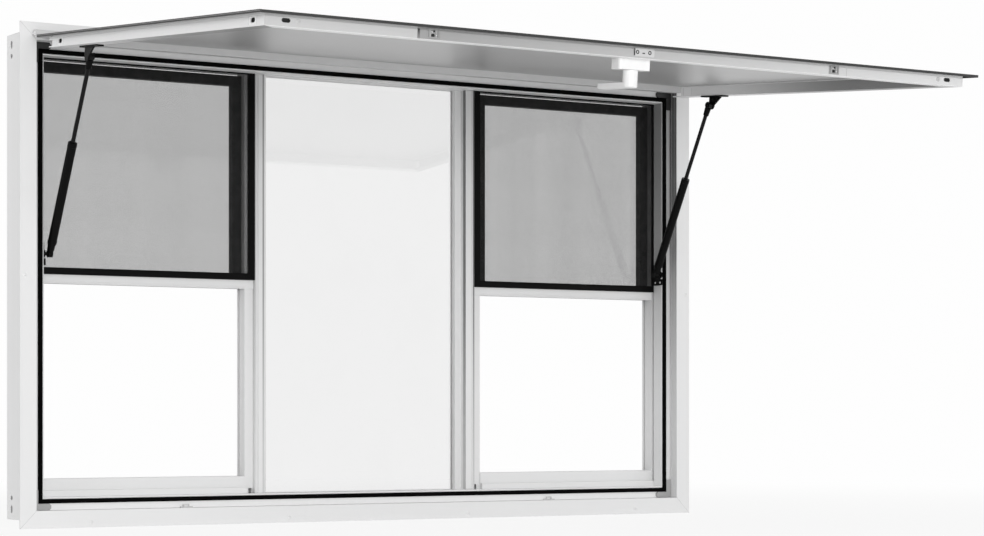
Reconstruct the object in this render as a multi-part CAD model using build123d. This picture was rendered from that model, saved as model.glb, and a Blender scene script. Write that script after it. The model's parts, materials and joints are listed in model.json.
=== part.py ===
from build123d import *
import math
import os

# Concession window, all sizes in millimetres.
# X runs to the right seen from the front, Y from the front to the back, Z up.
# Y = 0 is the wall face of the flange, Z = 0 the middle of the flange strip below the body.

# Body that goes through the wall, and the flange round it
BODY_WIDTH = 1524.0
BODY_HEIGHT = 914.0
BODY_DEPTH = 97.0
FLANGE_OVERHANG = 15.0
FLANGE_THICK = 3.0

# Frame extrusion, insets from the flange's outer edge and depths from the wall face
FRAME_WALL = 2.2
RECESS_INSET = 33.0
RECESS_DEPTH = 22.0
RECESS_LINE_WIDTH = 1.2
RECESS_LINE_DEPTH = 0.8
RECESS_LINES = (4.5, 16.5)
INNER_INSET = 57.0
SEAT_LIP_WIDTH = 2.0
SEAT_LIP_HEIGHT = 2.0
SCREEN_SLOT_FRONT = 47.7
SCREEN_SLOT_WIDTH = 7.6
SCREEN_SLOT_REACH = 13.0
SASH_SLOT_FRONT = 80.0
SASH_SLOT_WIDTH = 6.0
SASH_SLOT_REACH = 7.0
FRAME_BACK = 90.0

# Flange screw holes
SCREW_HOLE_RADIUS = 2.5
SCREW_EDGE = 9.5
SCREW_X = (209.0, 633.0)

# Slots in the side walls of the body
SIDE_SLOT_FROM_BACK = 22.0
SIDE_SLOT_WIDTH = 8.0
SIDE_SLOT_HEIGHT = 15.0
SIDE_SLOT_INSET = 34.0
SIDE_HOLE_RADIUS = 4.5
SIDE_HOLE_INSET = 55.5

# Gasket and corner keys in the recess
GASKET_OUTER = 45.7
GASKET_WIDTH = 8.3
GASKET_HEIGHT = 6.0
GASKET_ROUND = 2.8
CORNER_LEG = 38.0
CORNER_THICK = 4.0
CORNER_CHAMFER = 3.5
SEAT_CLEARANCE = 0.3

# Uprights beside the centre glass
MULLION_INSET = 519.0
MULLION_WIDTH = 21.0
MULLION_FRONT = 50.0
MULLION_WALL = 2.0
MULLION_LINE_INSET = 5.0
MULLION_LINE_WIDTH = 3.0
MULLION_LINE_DEPTH = 1.5

# Sash tracks beside the mullions
TRACK_WIDTH = 18.5
TRACK_FRONT = 58.0
TRACK_WALL = 1.6
WEEP_WIDTH = 9.0
WEEP_HEIGHT = 10.0
WEEP_INSET = 0.8

# Centre glass and the beads beside it
BEAD_WIDTH = 14.5
BEAD_FRONT = 70.0
BEAD_GROOVE = 8.0
BEAD_WALL = 1.6
GLASS_THICK = 4.0
GLASS_CLEARANCE = 0.2
GLASS_EDGE_CLEARANCE = 2.0

# Raised sashes
SASH_FACE = 20.0
SASH_DEPTH = 17.0
SASH_FRONT = 70.0
SASH_CLEARANCE = 1.0
SASH_BELOW_TRANSOM = -0.5
SASH_TOP_CLEARANCE = 4.0
SASH_TONGUE_REACH = 5.0

# Insect screens
SCREEN_THICK = 7.0
SCREEN_FACE = 13.0
SCREEN_BOTTOM = 478.5
SCREEN_SLOT_CLEARANCE = 2.0
MESH_THICK = 0.6
MESH_GROOVE = 5.0

# Transoms under the screens
TRANSOM_HEIGHT = 17.0
TRANSOM_FRONT = 55.6
TRANSOM_LINE = 2.0
TRANSOM_CLEARANCE = 0.5

# Sill tracks of the serving openings
SILL_HEIGHT = 34.0
SILL_FRONT = 48.0
SILL_STEP_HEIGHT = 12.0
SILL_STEP_DEPTH = 10.0
SILL_WALL = 2.0

# Hinge along the head of the frame, and the open awning
HINGE_STANDOFF = 13.0
HINGE_DROP = 23.0
HINGE_BEAD_RADIUS = 4.0
HINGE_NECK = 3.0
HINGE_GAP = 0.3
HINGE_HOOK_WALL = 3.0
HINGE_HOOK_START = 112.0
HINGE_HOOK_END = 335.0
HINGE_WEB_TOP = 3.0
HINGE_WEB_BOTTOM = 40.0
OPEN_ANGLE = 85.3

# Awning skin, depths from the hinge axis towards the inside
SKIN_MARGIN = 22.0
SKIN_FACE = 3.4
SKIN_THICK = 1.6
SKIN_TOP_DROP = 14.0
TRIM_THICK = 1.6
TRIM_DEPTH = 4.6

# Awning rails
RAIL_MARGIN = 42.0
RAIL_FACE = 30.0
RAIL_DEPTH = 21.0
RAIL_WALL = 2.0
RAIL_START = 26.0
RAIL_NOTCH = 15.0
RAIL_NOTCH_STRIP = 8.0
REAR_RAIL_FACE = 30.0
REAR_RAIL_DEPTH = 13.0
RAIL_SLOT_HEIGHT = 8.0
RAIL_SLOT_LENGTH = 16.0
REAR_SLOT_DROP = 77.0
FRONT_END_SLOT_INSET = 40.0
FRONT_SLOT_LENGTH = 16.0
FRONT_SLOT_HEIGHT = 7.0
FRONT_SLOT_INSET = 80.5
FRONT_JOINT_INSET = 323.0
FRONT_JOINT_WIDTH = 4.0
RAIL_LINE = 4.0
RAIL_LINE_WIDTH = 1.2
RAIL_LINE_DEPTH = 0.8

# Latches, strikers and lock plate
LATCH_INSET = 353.0
LATCH_WIDTH = 24.0
LATCH_HEIGHT = 16.0
LATCH_DEPTH = 9.0
LATCH_HOOK_WIDTH = 8.0
LATCH_CLEARANCE = 0.3
STRIKER_WIDTH = 25.0
STRIKER_HEIGHT = 7.0
STRIKER_FRONT = 15.0
STRIKER_DEPTH = 6.5
STRIKER_PLATE = 2.0
LOCK_PLATE_WIDTH = 44.0
LOCK_PLATE_HEIGHT = 14.0
LOCK_PLATE_THICK = 1.5

# Handle on the inside of the awning
HOUSING_WIDTH = 66.0
HOUSING_LENGTH = 28.0
HOUSING_LAP = 8.0
HOUSING_CLEARANCE = 2.0
HOUSING_HEIGHT = 39.4
HOUSING_ROUND = 5.0
SPINDLE_RADIUS = 8.0
SPINDLE_LENGTH = 12.0
SPINDLE_FIT = 0.05
STEM_RADIUS = 13.0
STEM_HEIGHT = 21.3
LEVER_LENGTH = 100.0
LEVER_THICK = 9.0
LEVER_CHAMFER = 2.0

# Gas struts
STRUT_INSET = 70.5
STRUT_FOOT_DEPTH = 23.0
STRUT_FOOT_DROP = 406.0
STRUT_TOP_DROP = 152.0
STRUT_TOP_DEPTH = 46.0
CYLINDER_RADIUS = 8.5
CYLINDER_LENGTH = 206.0
CYLINDER_WALL = 1.5
CYLINDER_CAP = 12.0
ROD_RADIUS = 4.0
ROD_PISTON_LENGTH = 12.0
STRUT_FIT = 0.05
STRUT_END = 20.0
EYE_RADIUS = 7.0
EYE_WIDTH = 9.0
EYE_NECK_RADIUS = 4.4
PIN_RADIUS = 3.0
PIN_HEAD = 2.0
FOOT_THICK = 2.5
FOOT_LENGTH = 45.0
FOOT_BACK = 44.0
FOOT_FRONT = 16.0
FOOT_PIN_CLEARANCE = 1.0
BRACKET_INSET = 59.0
BRACKET_WIDTH = 15.0
BRACKET_THICK = 3.0
BRACKET_START = 126.5
BRACKET_LENGTH = 75.0
LUG_INSET = 62.0
LUG_THICK = 3.0
LUG_BASE = 39.0
LUG_RADIUS = 8.5

# Places that follow from the sizes above
FLANGE_WIDTH = BODY_WIDTH + 2 * FLANGE_OVERHANG
FLANGE_HEIGHT = BODY_HEIGHT + 2 * FLANGE_OVERHANG
FLANGE_BOTTOM = -FLANGE_OVERHANG / 2
FLANGE_TOP = FLANGE_BOTTOM + FLANGE_HEIGHT
FRAME_MIDDLE = FLANGE_BOTTOM + FLANGE_HEIGHT / 2
HINGE_Y = -FLANGE_THICK - HINGE_STANDOFF
HINGE_Z = FLANGE_TOP - HINGE_DROP
HINGE_LENGTH = FLANGE_WIDTH - 2 * (SKIN_MARGIN + TRIM_THICK)
INNER_BOTTOM = FLANGE_BOTTOM + INNER_INSET
INNER_TOP = FLANGE_TOP - INNER_INSET
RAIL_TOP = SKIN_FACE + SKIN_THICK
RAIL_BACK = RAIL_TOP + RAIL_DEPTH
TRACK_INSET = MULLION_INSET - TRACK_WIDTH
SASH_BOTTOM = FLANGE_BOTTOM + SCREEN_BOTTOM - TRANSOM_HEIGHT - SASH_BELOW_TRANSOM
SASH_HEIGHT = INNER_TOP - SASH_TOP_CLEARANCE - SASH_BOTTOM
RAIL_FRONT_DROP = HINGE_Z - FLANGE_BOTTOM - RAIL_MARGIN
RAIL_INNER_DROP = RAIL_FRONT_DROP - RAIL_FACE
STEM_DROP = RAIL_INNER_DROP + HOUSING_LAP - HOUSING_LENGTH / 2
STRUT_FOOT_HEIGHT = HINGE_Z - STRUT_FOOT_DROP


def from_left(inset):
    """X of a place at an inset from the flange's left edge."""
    return inset - FLANGE_WIDTH / 2


def from_bottom(inset):
    """Z of a place at an inset from the flange's bottom edge."""
    return FLANGE_BOTTOM + inset


def door_bottom(margin):
    """Drop from the hinge axis to a place at a margin from the flange's bottom edge."""
    return HINGE_Z - FLANGE_BOTTOM - margin


def rect(x0, x1, y0, y1):
    """Flat rectangle between two corners."""
    return Pos((x0 + x1) / 2, (y0 + y1) / 2) * Rectangle(x1 - x0, y1 - y0)


def block(x0, x1, y0, y1, z0, z1):
    """Rectangular solid between two corners."""
    middle = Pos((x0 + x1) / 2, (y0 + y1) / 2, (z0 + z1) / 2)
    return middle * Box(x1 - x0, y1 - y0, z1 - z0)


def outline(*points):
    """Flat face inside a closed run of points."""
    return make_face(Polyline(*points, close=True))


def along_x(profile, x0, x1):
    """Extrude a profile drawn in Y and Z from x0 to x1."""
    return extrude(Plane.YZ.offset(x0) * profile, x1 - x0)


def along_z(profile, z0, z1):
    """Extrude a profile drawn in X and Y from z0 to z1."""
    return extrude(Plane.XY.offset(z0) * profile, z1 - z0)


def along_y(profile, y0, y1):
    """Extrude a profile drawn in X and Z from y0 to y1."""
    return extrude(Plane.XZ.offset(-y1) * profile, y1 - y0)


def mirrored(solid):
    """The same piece on the other side of the window."""
    return mirror(solid, about=Plane.YZ)


def mitred_side(profile, side, width, height, middle):
    """One mitred side of a rectangular ring, from a profile drawn in inset and Y."""
    length, across, turn = {
        "bottom": (width, height, 0),
        "right": (height, width, -90),
        "top": (width, height, 180),
        "left": (height, width, 90),
    }[side]
    start = Plane(origin=(length / 2, 0, -across / 2), x_dir=(0, 0, 1), z_dir=(-1, 0, 0))
    bar = extrude(start * profile, length)
    reach = min(length, across) / 2 - 1
    wedge = outline(
        (-length / 2, -across / 2),
        (length / 2, -across / 2),
        (length / 2 - reach, reach - across / 2),
        (reach - length / 2, reach - across / 2),
    )
    cutter = extrude(Plane.XZ * wedge, BODY_DEPTH * 2, both=True)
    return Pos(0, 0, middle) * Rot(0, turn, 0) * (bar & cutter)


def ring(profile, width, height, middle):
    """Closed rectangular ring from four mitred sides."""
    names = ("bottom", "right", "top", "left")
    sides = [mitred_side(profile, side, width, height, middle) for side in names]
    return sides[0] + sides[1] + sides[2] + sides[3]


def frame_profile():
    """Section of the frame extrusion: flange, recess, seat, slots and chambers."""
    face = rect(0, RECESS_INSET, -FLANGE_THICK, 0)
    face += rect(FLANGE_OVERHANG, RECESS_INSET, -FLANGE_THICK, RECESS_DEPTH)
    face += rect(FLANGE_OVERHANG, INNER_INSET, RECESS_DEPTH, FRAME_BACK)
    face += rect(FLANGE_OVERHANG, FLANGE_OVERHANG + FRAME_WALL, FRAME_BACK, BODY_DEPTH)
    face += rect(INNER_INSET - SEAT_LIP_WIDTH, INNER_INSET, RECESS_DEPTH - SEAT_LIP_HEIGHT, RECESS_DEPTH)
    front_chamber = rect(FLANGE_OVERHANG + FRAME_WALL, RECESS_INSET - FRAME_WALL, 0, RECESS_DEPTH)
    main_chamber = rect(
        FLANGE_OVERHANG + FRAME_WALL,
        INNER_INSET - FRAME_WALL,
        RECESS_DEPTH + FRAME_WALL,
        FRAME_BACK - FRAME_WALL,
    )
    slots = (
        (SCREEN_SLOT_FRONT, SCREEN_SLOT_WIDTH, SCREEN_SLOT_REACH),
        (SASH_SLOT_FRONT, SASH_SLOT_WIDTH, SASH_SLOT_REACH),
    )
    for front, width, reach in slots:
        main_chamber -= rect(
            INNER_INSET - reach - FRAME_WALL,
            INNER_INSET,
            front - FRAME_WALL,
            front + width + FRAME_WALL,
        )
        face -= rect(INNER_INSET - reach, INNER_INSET, front, front + width)
    for depth in RECESS_LINES:
        face -= rect(
            RECESS_INSET - RECESS_LINE_DEPTH,
            RECESS_INSET,
            depth - RECESS_LINE_WIDTH / 2,
            depth + RECESS_LINE_WIDTH / 2,
        )
    return face - front_chamber - main_chamber


def flange_holes():
    """Screw holes through the flange: four along the top, four along the bottom, one each side."""
    places = []
    for z in (FLANGE_BOTTOM + SCREW_EDGE, FLANGE_TOP - SCREW_EDGE):
        for x in SCREW_X:
            places += [(-x, z), (x, z)]
    side_x = FLANGE_WIDTH / 2 - SCREW_EDGE
    places += [(-side_x, FRAME_MIDDLE), (side_x, FRAME_MIDDLE)]
    holes = Sketch() + [Pos(x, z) * Circle(SCREW_HOLE_RADIUS) for x, z in places]
    return along_y(holes, -2 * FLANGE_THICK, FLANGE_THICK)


def side_wall_openings():
    """Slots and round holes through the outer walls of both jambs."""
    depth = BODY_DEPTH - SIDE_SLOT_FROM_BACK
    cuts = Sketch()
    for up in (1, -1):
        slot_z = FRAME_MIDDLE + up * (FLANGE_HEIGHT / 2 - SIDE_SLOT_INSET)
        hole_z = FRAME_MIDDLE + up * (FLANGE_HEIGHT / 2 - SIDE_HOLE_INSET)
        cuts += Pos(depth, slot_z) * Rot(0, 0, 90) * SlotOverall(SIDE_SLOT_HEIGHT, SIDE_SLOT_WIDTH)
        cuts += Pos(depth, hole_z) * Circle(SIDE_HOLE_RADIUS)
    right = along_x(cuts, BODY_WIDTH / 2 - 2 * FRAME_WALL, BODY_WIDTH / 2 + FRAME_WALL)
    return right + mirrored(right)


def hinge_bead():
    """Round bead on a neck that stands out from the front of the head flange."""
    section = Pos(HINGE_Y, HINGE_Z) * Circle(HINGE_BEAD_RADIUS)
    section += rect(HINGE_Y, -FLANGE_THICK, HINGE_Z - HINGE_NECK / 2, HINGE_Z + HINGE_NECK / 2)
    return along_x(section, -HINGE_LENGTH / 2, HINGE_LENGTH / 2)


def frame_nodes():
    """Head, bottom and jambs, mitred at the corners."""
    profile = frame_profile()
    holes = flange_holes()
    names = {
        "bottom": "frame_bottom",
        "right": "frame_jamb_right",
        "top": "frame_head",
        "left": "frame_jamb_left",
    }
    nodes = {}
    for side, name in names.items():
        nodes[name] = mitred_side(profile, side, FLANGE_WIDTH, FLANGE_HEIGHT, FRAME_MIDDLE) - holes
    openings = side_wall_openings()
    nodes["frame_jamb_left"] -= openings
    nodes["frame_jamb_right"] -= openings
    nodes["frame_head"] += hinge_bead()
    return nodes


def gasket():
    """Bulb gasket round the recess, seated between the corner keys and the lip."""
    section = rect(GASKET_OUTER, GASKET_OUTER + GASKET_WIDTH, RECESS_DEPTH - GASKET_HEIGHT, RECESS_DEPTH)
    front = section.vertices().sort_by(Axis.Y)[:2]
    section = fillet(front, GASKET_ROUND)
    return ring(section, FLANGE_WIDTH, FLANGE_HEIGHT, FRAME_MIDDLE)


def corner_keys():
    """Four L-shaped keys in the recess corners, their ends chamfered."""
    inner = RECESS_INSET + SEAT_CLEARANCE
    outer = GASKET_OUTER - SEAT_CLEARANCE
    x0 = from_left(inner)
    z0 = from_bottom(inner)
    leg = outer - inner
    face = rect(x0, x0 + CORNER_LEG, z0, z0 + leg) + rect(x0, x0 + leg, z0, z0 + CORNER_LEG)
    ends = face.vertices().filter_by(lambda v: v.X > x0 + CORNER_LEG - 1 or v.Z > z0 + CORNER_LEG - 1)
    face = chamfer(ends, CORNER_CHAMFER)
    back = RECESS_DEPTH
    key = along_y(face, back - CORNER_THICK, back)
    lower = [key, mirrored(key)]
    upper = [mirror(part, about=Plane.XY.offset(FRAME_MIDDLE)) for part in lower]
    return Compound(children=lower + upper)


def mullion():
    """Hollow left upright beside the centre glass, with a line down its front and side."""
    x0 = from_left(MULLION_INSET)
    x1 = x0 + MULLION_WIDTH
    face = rect(x0, x1, MULLION_FRONT, FRAME_BACK)
    face -= rect(
        x0 + MULLION_WALL,
        x1 - MULLION_WALL,
        MULLION_FRONT + 2 * MULLION_WALL,
        FRAME_BACK - MULLION_WALL,
    )
    line = x0 + MULLION_LINE_INSET
    face -= rect(line, line + MULLION_LINE_WIDTH, MULLION_FRONT, MULLION_FRONT + MULLION_LINE_DEPTH)
    return along_z(face, INNER_BOTTOM, INNER_TOP)


def side_track():
    """Left sash track beside the mullion, with its slot and weep notch."""
    x0 = from_left(TRACK_INSET)
    x1 = x0 + TRACK_WIDTH
    face = rect(x0, x1, TRACK_FRONT, FRAME_BACK)
    chamber = rect(x0 + TRACK_WALL, x1 - TRACK_WALL, TRACK_FRONT + TRACK_WALL, FRAME_BACK - TRACK_WALL)
    slot_back = SASH_SLOT_FRONT + SASH_SLOT_WIDTH
    slot_wall = rect(x0, x0 + SASH_SLOT_REACH + TRACK_WALL, SASH_SLOT_FRONT - TRACK_WALL, FRAME_BACK)
    face = face - (chamber - slot_wall) - rect(x0, x0 + SASH_SLOT_REACH, SASH_SLOT_FRONT, slot_back)
    track = along_z(face, INNER_BOTTOM, INNER_TOP)
    weep_x = x1 - WEEP_INSET
    weep = block(
        weep_x - WEEP_WIDTH,
        weep_x,
        TRACK_FRONT,
        TRACK_FRONT + 2 * TRACK_WALL,
        INNER_BOTTOM,
        INNER_BOTTOM + WEEP_HEIGHT,
    )
    return track - weep


def transom():
    """Left rail across the serving opening under the screen, with a face plate to the mullion."""
    z1 = from_bottom(SCREEN_BOTTOM)
    z0 = z1 - TRANSOM_HEIGHT
    back = SASH_FRONT - TRANSOM_CLEARANCE
    face = rect(TRANSOM_FRONT, back, z0, z1)
    face -= rect(TRANSOM_FRONT + FRAME_WALL, back - FRAME_WALL, z0 + FRAME_WALL, z1 - FRAME_WALL)
    face -= rect(TRANSOM_FRONT, TRANSOM_FRONT + TRANSOM_LINE / 2, z0 + TRANSOM_LINE, z0 + 2 * TRANSOM_LINE)
    bar = along_x(face, from_left(INNER_INSET), from_left(TRACK_INSET))
    plate = rect(TRANSOM_FRONT, TRACK_FRONT, z0, z1)
    return bar + along_x(plate, from_left(TRACK_INSET), from_left(MULLION_INSET))


def sill_track():
    """Left raised sill: a stepped front, a flat top and a channel for the sash."""
    z0 = INNER_BOTTOM
    z1 = z0 + SILL_HEIGHT
    step = z0 + SILL_STEP_HEIGHT
    face = outline(
        (SILL_FRONT + SCREEN_SLOT_WIDTH + SEAT_CLEARANCE, z0),
        (SILL_FRONT + SCREEN_SLOT_WIDTH + SEAT_CLEARANCE, z1),
        (SASH_FRONT - SASH_CLEARANCE, z1),
        (SASH_FRONT - SASH_CLEARANCE, step),
        (FRAME_BACK - SILL_WALL, step),
        (FRAME_BACK - SILL_WALL, z1),
        (FRAME_BACK, z1),
        (FRAME_BACK, z0),
    )
    face += rect(SILL_FRONT, SILL_FRONT + SILL_STEP_DEPTH, z0, step)
    hollow = rect(
        SILL_FRONT + SCREEN_SLOT_WIDTH + SEAT_CLEARANCE + SILL_WALL,
        SASH_FRONT - SASH_CLEARANCE - SILL_WALL,
        step,
        z1 - SILL_WALL,
    )
    return along_x(face - hollow, from_left(INNER_INSET), from_left(TRACK_INSET))


def glazed_section(width, front, depth, groove):
    """Section of a glazed frame with a groove for its pane in the inner edge."""
    pane_front = front + (depth - GLASS_THICK) / 2 - GLASS_CLEARANCE
    pane_back = pane_front + GLASS_THICK + 2 * GLASS_CLEARANCE
    return rect(0, width, front, front + depth) - rect(width - groove, width, pane_front, pane_back)


def pane(width, height, x, z, front, depth):
    """Sheet of glass in the groove of a frame of this outer depth."""
    middle = front + depth / 2
    sheet = Box(width, GLASS_THICK, height)
    return Pos(x, middle, z) * sheet


def centre_nodes():
    """Fixed glass in the head and bottom slots, and the hollow bead beside each of its edges."""
    x0 = from_left(MULLION_INSET + MULLION_WIDTH)
    x1 = x0 + BEAD_WIDTH
    middle = SASH_SLOT_FRONT + SASH_SLOT_WIDTH / 2
    half_groove = GLASS_THICK / 2 + GLASS_CLEARANCE
    face = rect(x0, x1, BEAD_FRONT, FRAME_BACK)
    face -= rect(x1 - BEAD_GROOVE, x1, middle - half_groove, middle + half_groove)
    face -= rect(
        x0 + BEAD_WALL,
        x1 - BEAD_WALL,
        BEAD_FRONT + BEAD_WALL,
        middle - half_groove - BEAD_WALL,
    )
    bead = along_z(face, INNER_BOTTOM, INNER_TOP)
    edge = x1 - BEAD_GROOVE + GLASS_CLEARANCE
    reach = SASH_SLOT_REACH - GLASS_EDGE_CLEARANCE
    glass = block(
        edge,
        -edge,
        middle - GLASS_THICK / 2,
        middle + GLASS_THICK / 2,
        INNER_BOTTOM - reach,
        INNER_TOP + reach,
    )
    return {"centre_bead": Compound(children=[bead, mirrored(bead)]), "centre_glass": glass}


def sash_nodes():
    """Left raised sash: a glazed ring with a tongue in each side slot, and its glass."""
    x0 = from_left(INNER_INSET + SASH_CLEARANCE)
    x1 = from_left(TRACK_INSET - SASH_CLEARANCE)
    width = x1 - x0
    x = (x0 + x1) / 2
    z = SASH_BOTTOM + SASH_HEIGHT / 2
    groove = SASH_FACE / 2
    frame = Pos(x, 0, 0) * ring(
        glazed_section(SASH_FACE, SASH_FRONT, SASH_DEPTH, groove), width, SASH_HEIGHT, z
    )
    slot_middle = SASH_SLOT_FRONT + SASH_SLOT_WIDTH / 2
    tongue = SASH_SLOT_WIDTH / 2 - SASH_CLEARANCE
    reach = SASH_CLEARANCE + SASH_TONGUE_REACH
    for edge, out in ((x0, -reach), (x1, reach)):
        frame += block(
            min(edge, edge + out),
            max(edge, edge + out),
            slot_middle - tongue,
            slot_middle + tongue,
            SASH_BOTTOM,
            SASH_BOTTOM + SASH_HEIGHT,
        )
    inset = 2 * (SASH_FACE - groove + GLASS_CLEARANCE)
    glass = pane(width - inset, SASH_HEIGHT - inset, x, z, SASH_FRONT, SASH_DEPTH)
    return {"frame": frame, "glass": glass}


def screen_nodes():
    """Left insect screen: a flat black ring in the jamb and head slots, and its mesh."""
    x0 = from_left(INNER_INSET - SCREEN_SLOT_REACH + SCREEN_SLOT_CLEARANCE)
    x1 = from_left(MULLION_INSET) - SEAT_CLEARANCE
    z0 = from_bottom(SCREEN_BOTTOM)
    z1 = INNER_TOP + SCREEN_SLOT_REACH - SCREEN_SLOT_CLEARANCE
    front = SCREEN_SLOT_FRONT + (SCREEN_SLOT_WIDTH - SCREEN_THICK) / 2
    middle = front + SCREEN_THICK / 2
    half_groove = MESH_THICK / 2 + GLASS_CLEARANCE
    section = rect(0, SCREEN_FACE, front, front + SCREEN_THICK)
    section -= rect(SCREEN_FACE - MESH_GROOVE, SCREEN_FACE, middle - half_groove, middle + half_groove)
    frame = Pos((x0 + x1) / 2, 0, 0) * ring(section, x1 - x0, z1 - z0, (z0 + z1) / 2)
    inset = 2 * (SCREEN_FACE - MESH_GROOVE + GLASS_CLEARANCE)
    sheet = Box(x1 - x0 - inset, MESH_THICK, z1 - z0 - inset)
    return {"frame": frame, "mesh": Pos((x0 + x1) / 2, middle, (z0 + z1) / 2) * sheet}


def striker():
    """Left latch striker: a plate and a raised staple in the floor of the recess."""
    x = from_left(LATCH_INSET)
    z = from_bottom(RECESS_INSET)
    back = STRIKER_FRONT + STRIKER_DEPTH
    half = STRIKER_WIDTH / 2
    plate = block(x - half, x + half, STRIKER_FRONT, back, z, z + STRIKER_PLATE)
    bar = rect(x - half / 2, x + half / 2, z, z + STRIKER_HEIGHT)
    bar -= rect(
        x - half / 2 + STRIKER_PLATE,
        x + half / 2 - STRIKER_PLATE,
        z + STRIKER_PLATE,
        z + STRIKER_HEIGHT - STRIKER_PLATE,
    )
    middle = STRIKER_FRONT + STRIKER_DEPTH / 2
    return plate + along_y(bar, middle - STRIKER_PLATE / 2, middle + STRIKER_PLATE / 2)


def strut_foot():
    """Left foot plate on the jamb, rounded round the lower end of the strut."""
    x0 = from_left(INNER_INSET)
    half = FOOT_LENGTH / 2
    z = STRUT_FOOT_HEIGHT
    wall_front = RECESS_DEPTH + SEAT_LIP_HEIGHT
    face = rect(wall_front, FOOT_BACK, z - half, z + half)
    nose = STRUT_FOOT_DEPTH - FOOT_FRONT
    face += outline(
        (wall_front, z - half),
        (wall_front, z + half),
        (STRUT_FOOT_DEPTH, z + nose),
        (STRUT_FOOT_DEPTH, z - nose),
    )
    face += Pos(STRUT_FOOT_DEPTH, z) * Circle(nose)
    return along_x(face, x0, x0 + FOOT_THICK)


def awning_open(solid):
    """Move a piece drawn on the closed awning, with the hinge axis as its origin, to the open place."""
    return Pos(0, HINGE_Y, HINGE_Z) * Rot(-OPEN_ANGLE, 0, 0) * solid


def awning_side(profile, side, margin):
    """One mitred side of a ring on the awning, from a profile drawn in inset and depth."""
    width = FLANGE_WIDTH - 2 * margin
    top = -RAIL_START
    bottom = -door_bottom(margin)
    return mitred_side(profile, side, width, top - bottom, (top + bottom) / 2)


def awning_skin():
    """Flat outer sheet of the awning."""
    half = FLANGE_WIDTH / 2 - SKIN_MARGIN - TRIM_THICK
    bottom = -door_bottom(SKIN_MARGIN + TRIM_THICK)
    return block(-half, half, SKIN_FACE, RAIL_TOP, bottom, -SKIN_TOP_DROP)


def awning_edge_trim():
    """Folded trim round the free edges of the skin."""
    half = FLANGE_WIDTH / 2 - SKIN_MARGIN
    bottom = -door_bottom(SKIN_MARGIN)
    face = rect(-half, half, bottom, -SKIN_TOP_DROP)
    face -= rect(-half + TRIM_THICK, half - TRIM_THICK, bottom + TRIM_THICK, -SKIN_TOP_DROP)
    return along_y(face, SKIN_FACE, SKIN_FACE + TRIM_DEPTH)


def awning_hinge_rail():
    """Hooked rail that turns on the bead of the head, with a web under the skin."""
    inner = HINGE_BEAD_RADIUS + HINGE_GAP
    outer = inner + HINGE_HOOK_WALL
    hook = Circle(outer) - Circle(inner)
    reach = 3 * outer
    span = HINGE_HOOK_START - (HINGE_HOOK_END - 360)
    steps = [math.radians(HINGE_HOOK_END - 360 + span * i / 3) for i in range(4)]
    mouth = outline((0, 0), *[(reach * math.cos(a), reach * math.sin(a)) for a in steps])
    web_thick = HINGE_HOOK_WALL
    web = rect(RAIL_TOP, RAIL_TOP + web_thick, -HINGE_WEB_BOTTOM, -HINGE_WEB_TOP)
    section = (hook - mouth) + web
    return along_x(section, -HINGE_LENGTH / 2, HINGE_LENGTH / 2)


def rail_section(depth):
    """Hollow section of an awning rail, drawn in inset and depth."""
    face = rect(0, RAIL_FACE, RAIL_TOP, RAIL_TOP + depth)
    hollow = rect(RAIL_WALL, RAIL_FACE - RAIL_WALL, RAIL_TOP + RAIL_WALL, RAIL_TOP + depth - RAIL_WALL)
    return face - hollow


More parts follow.
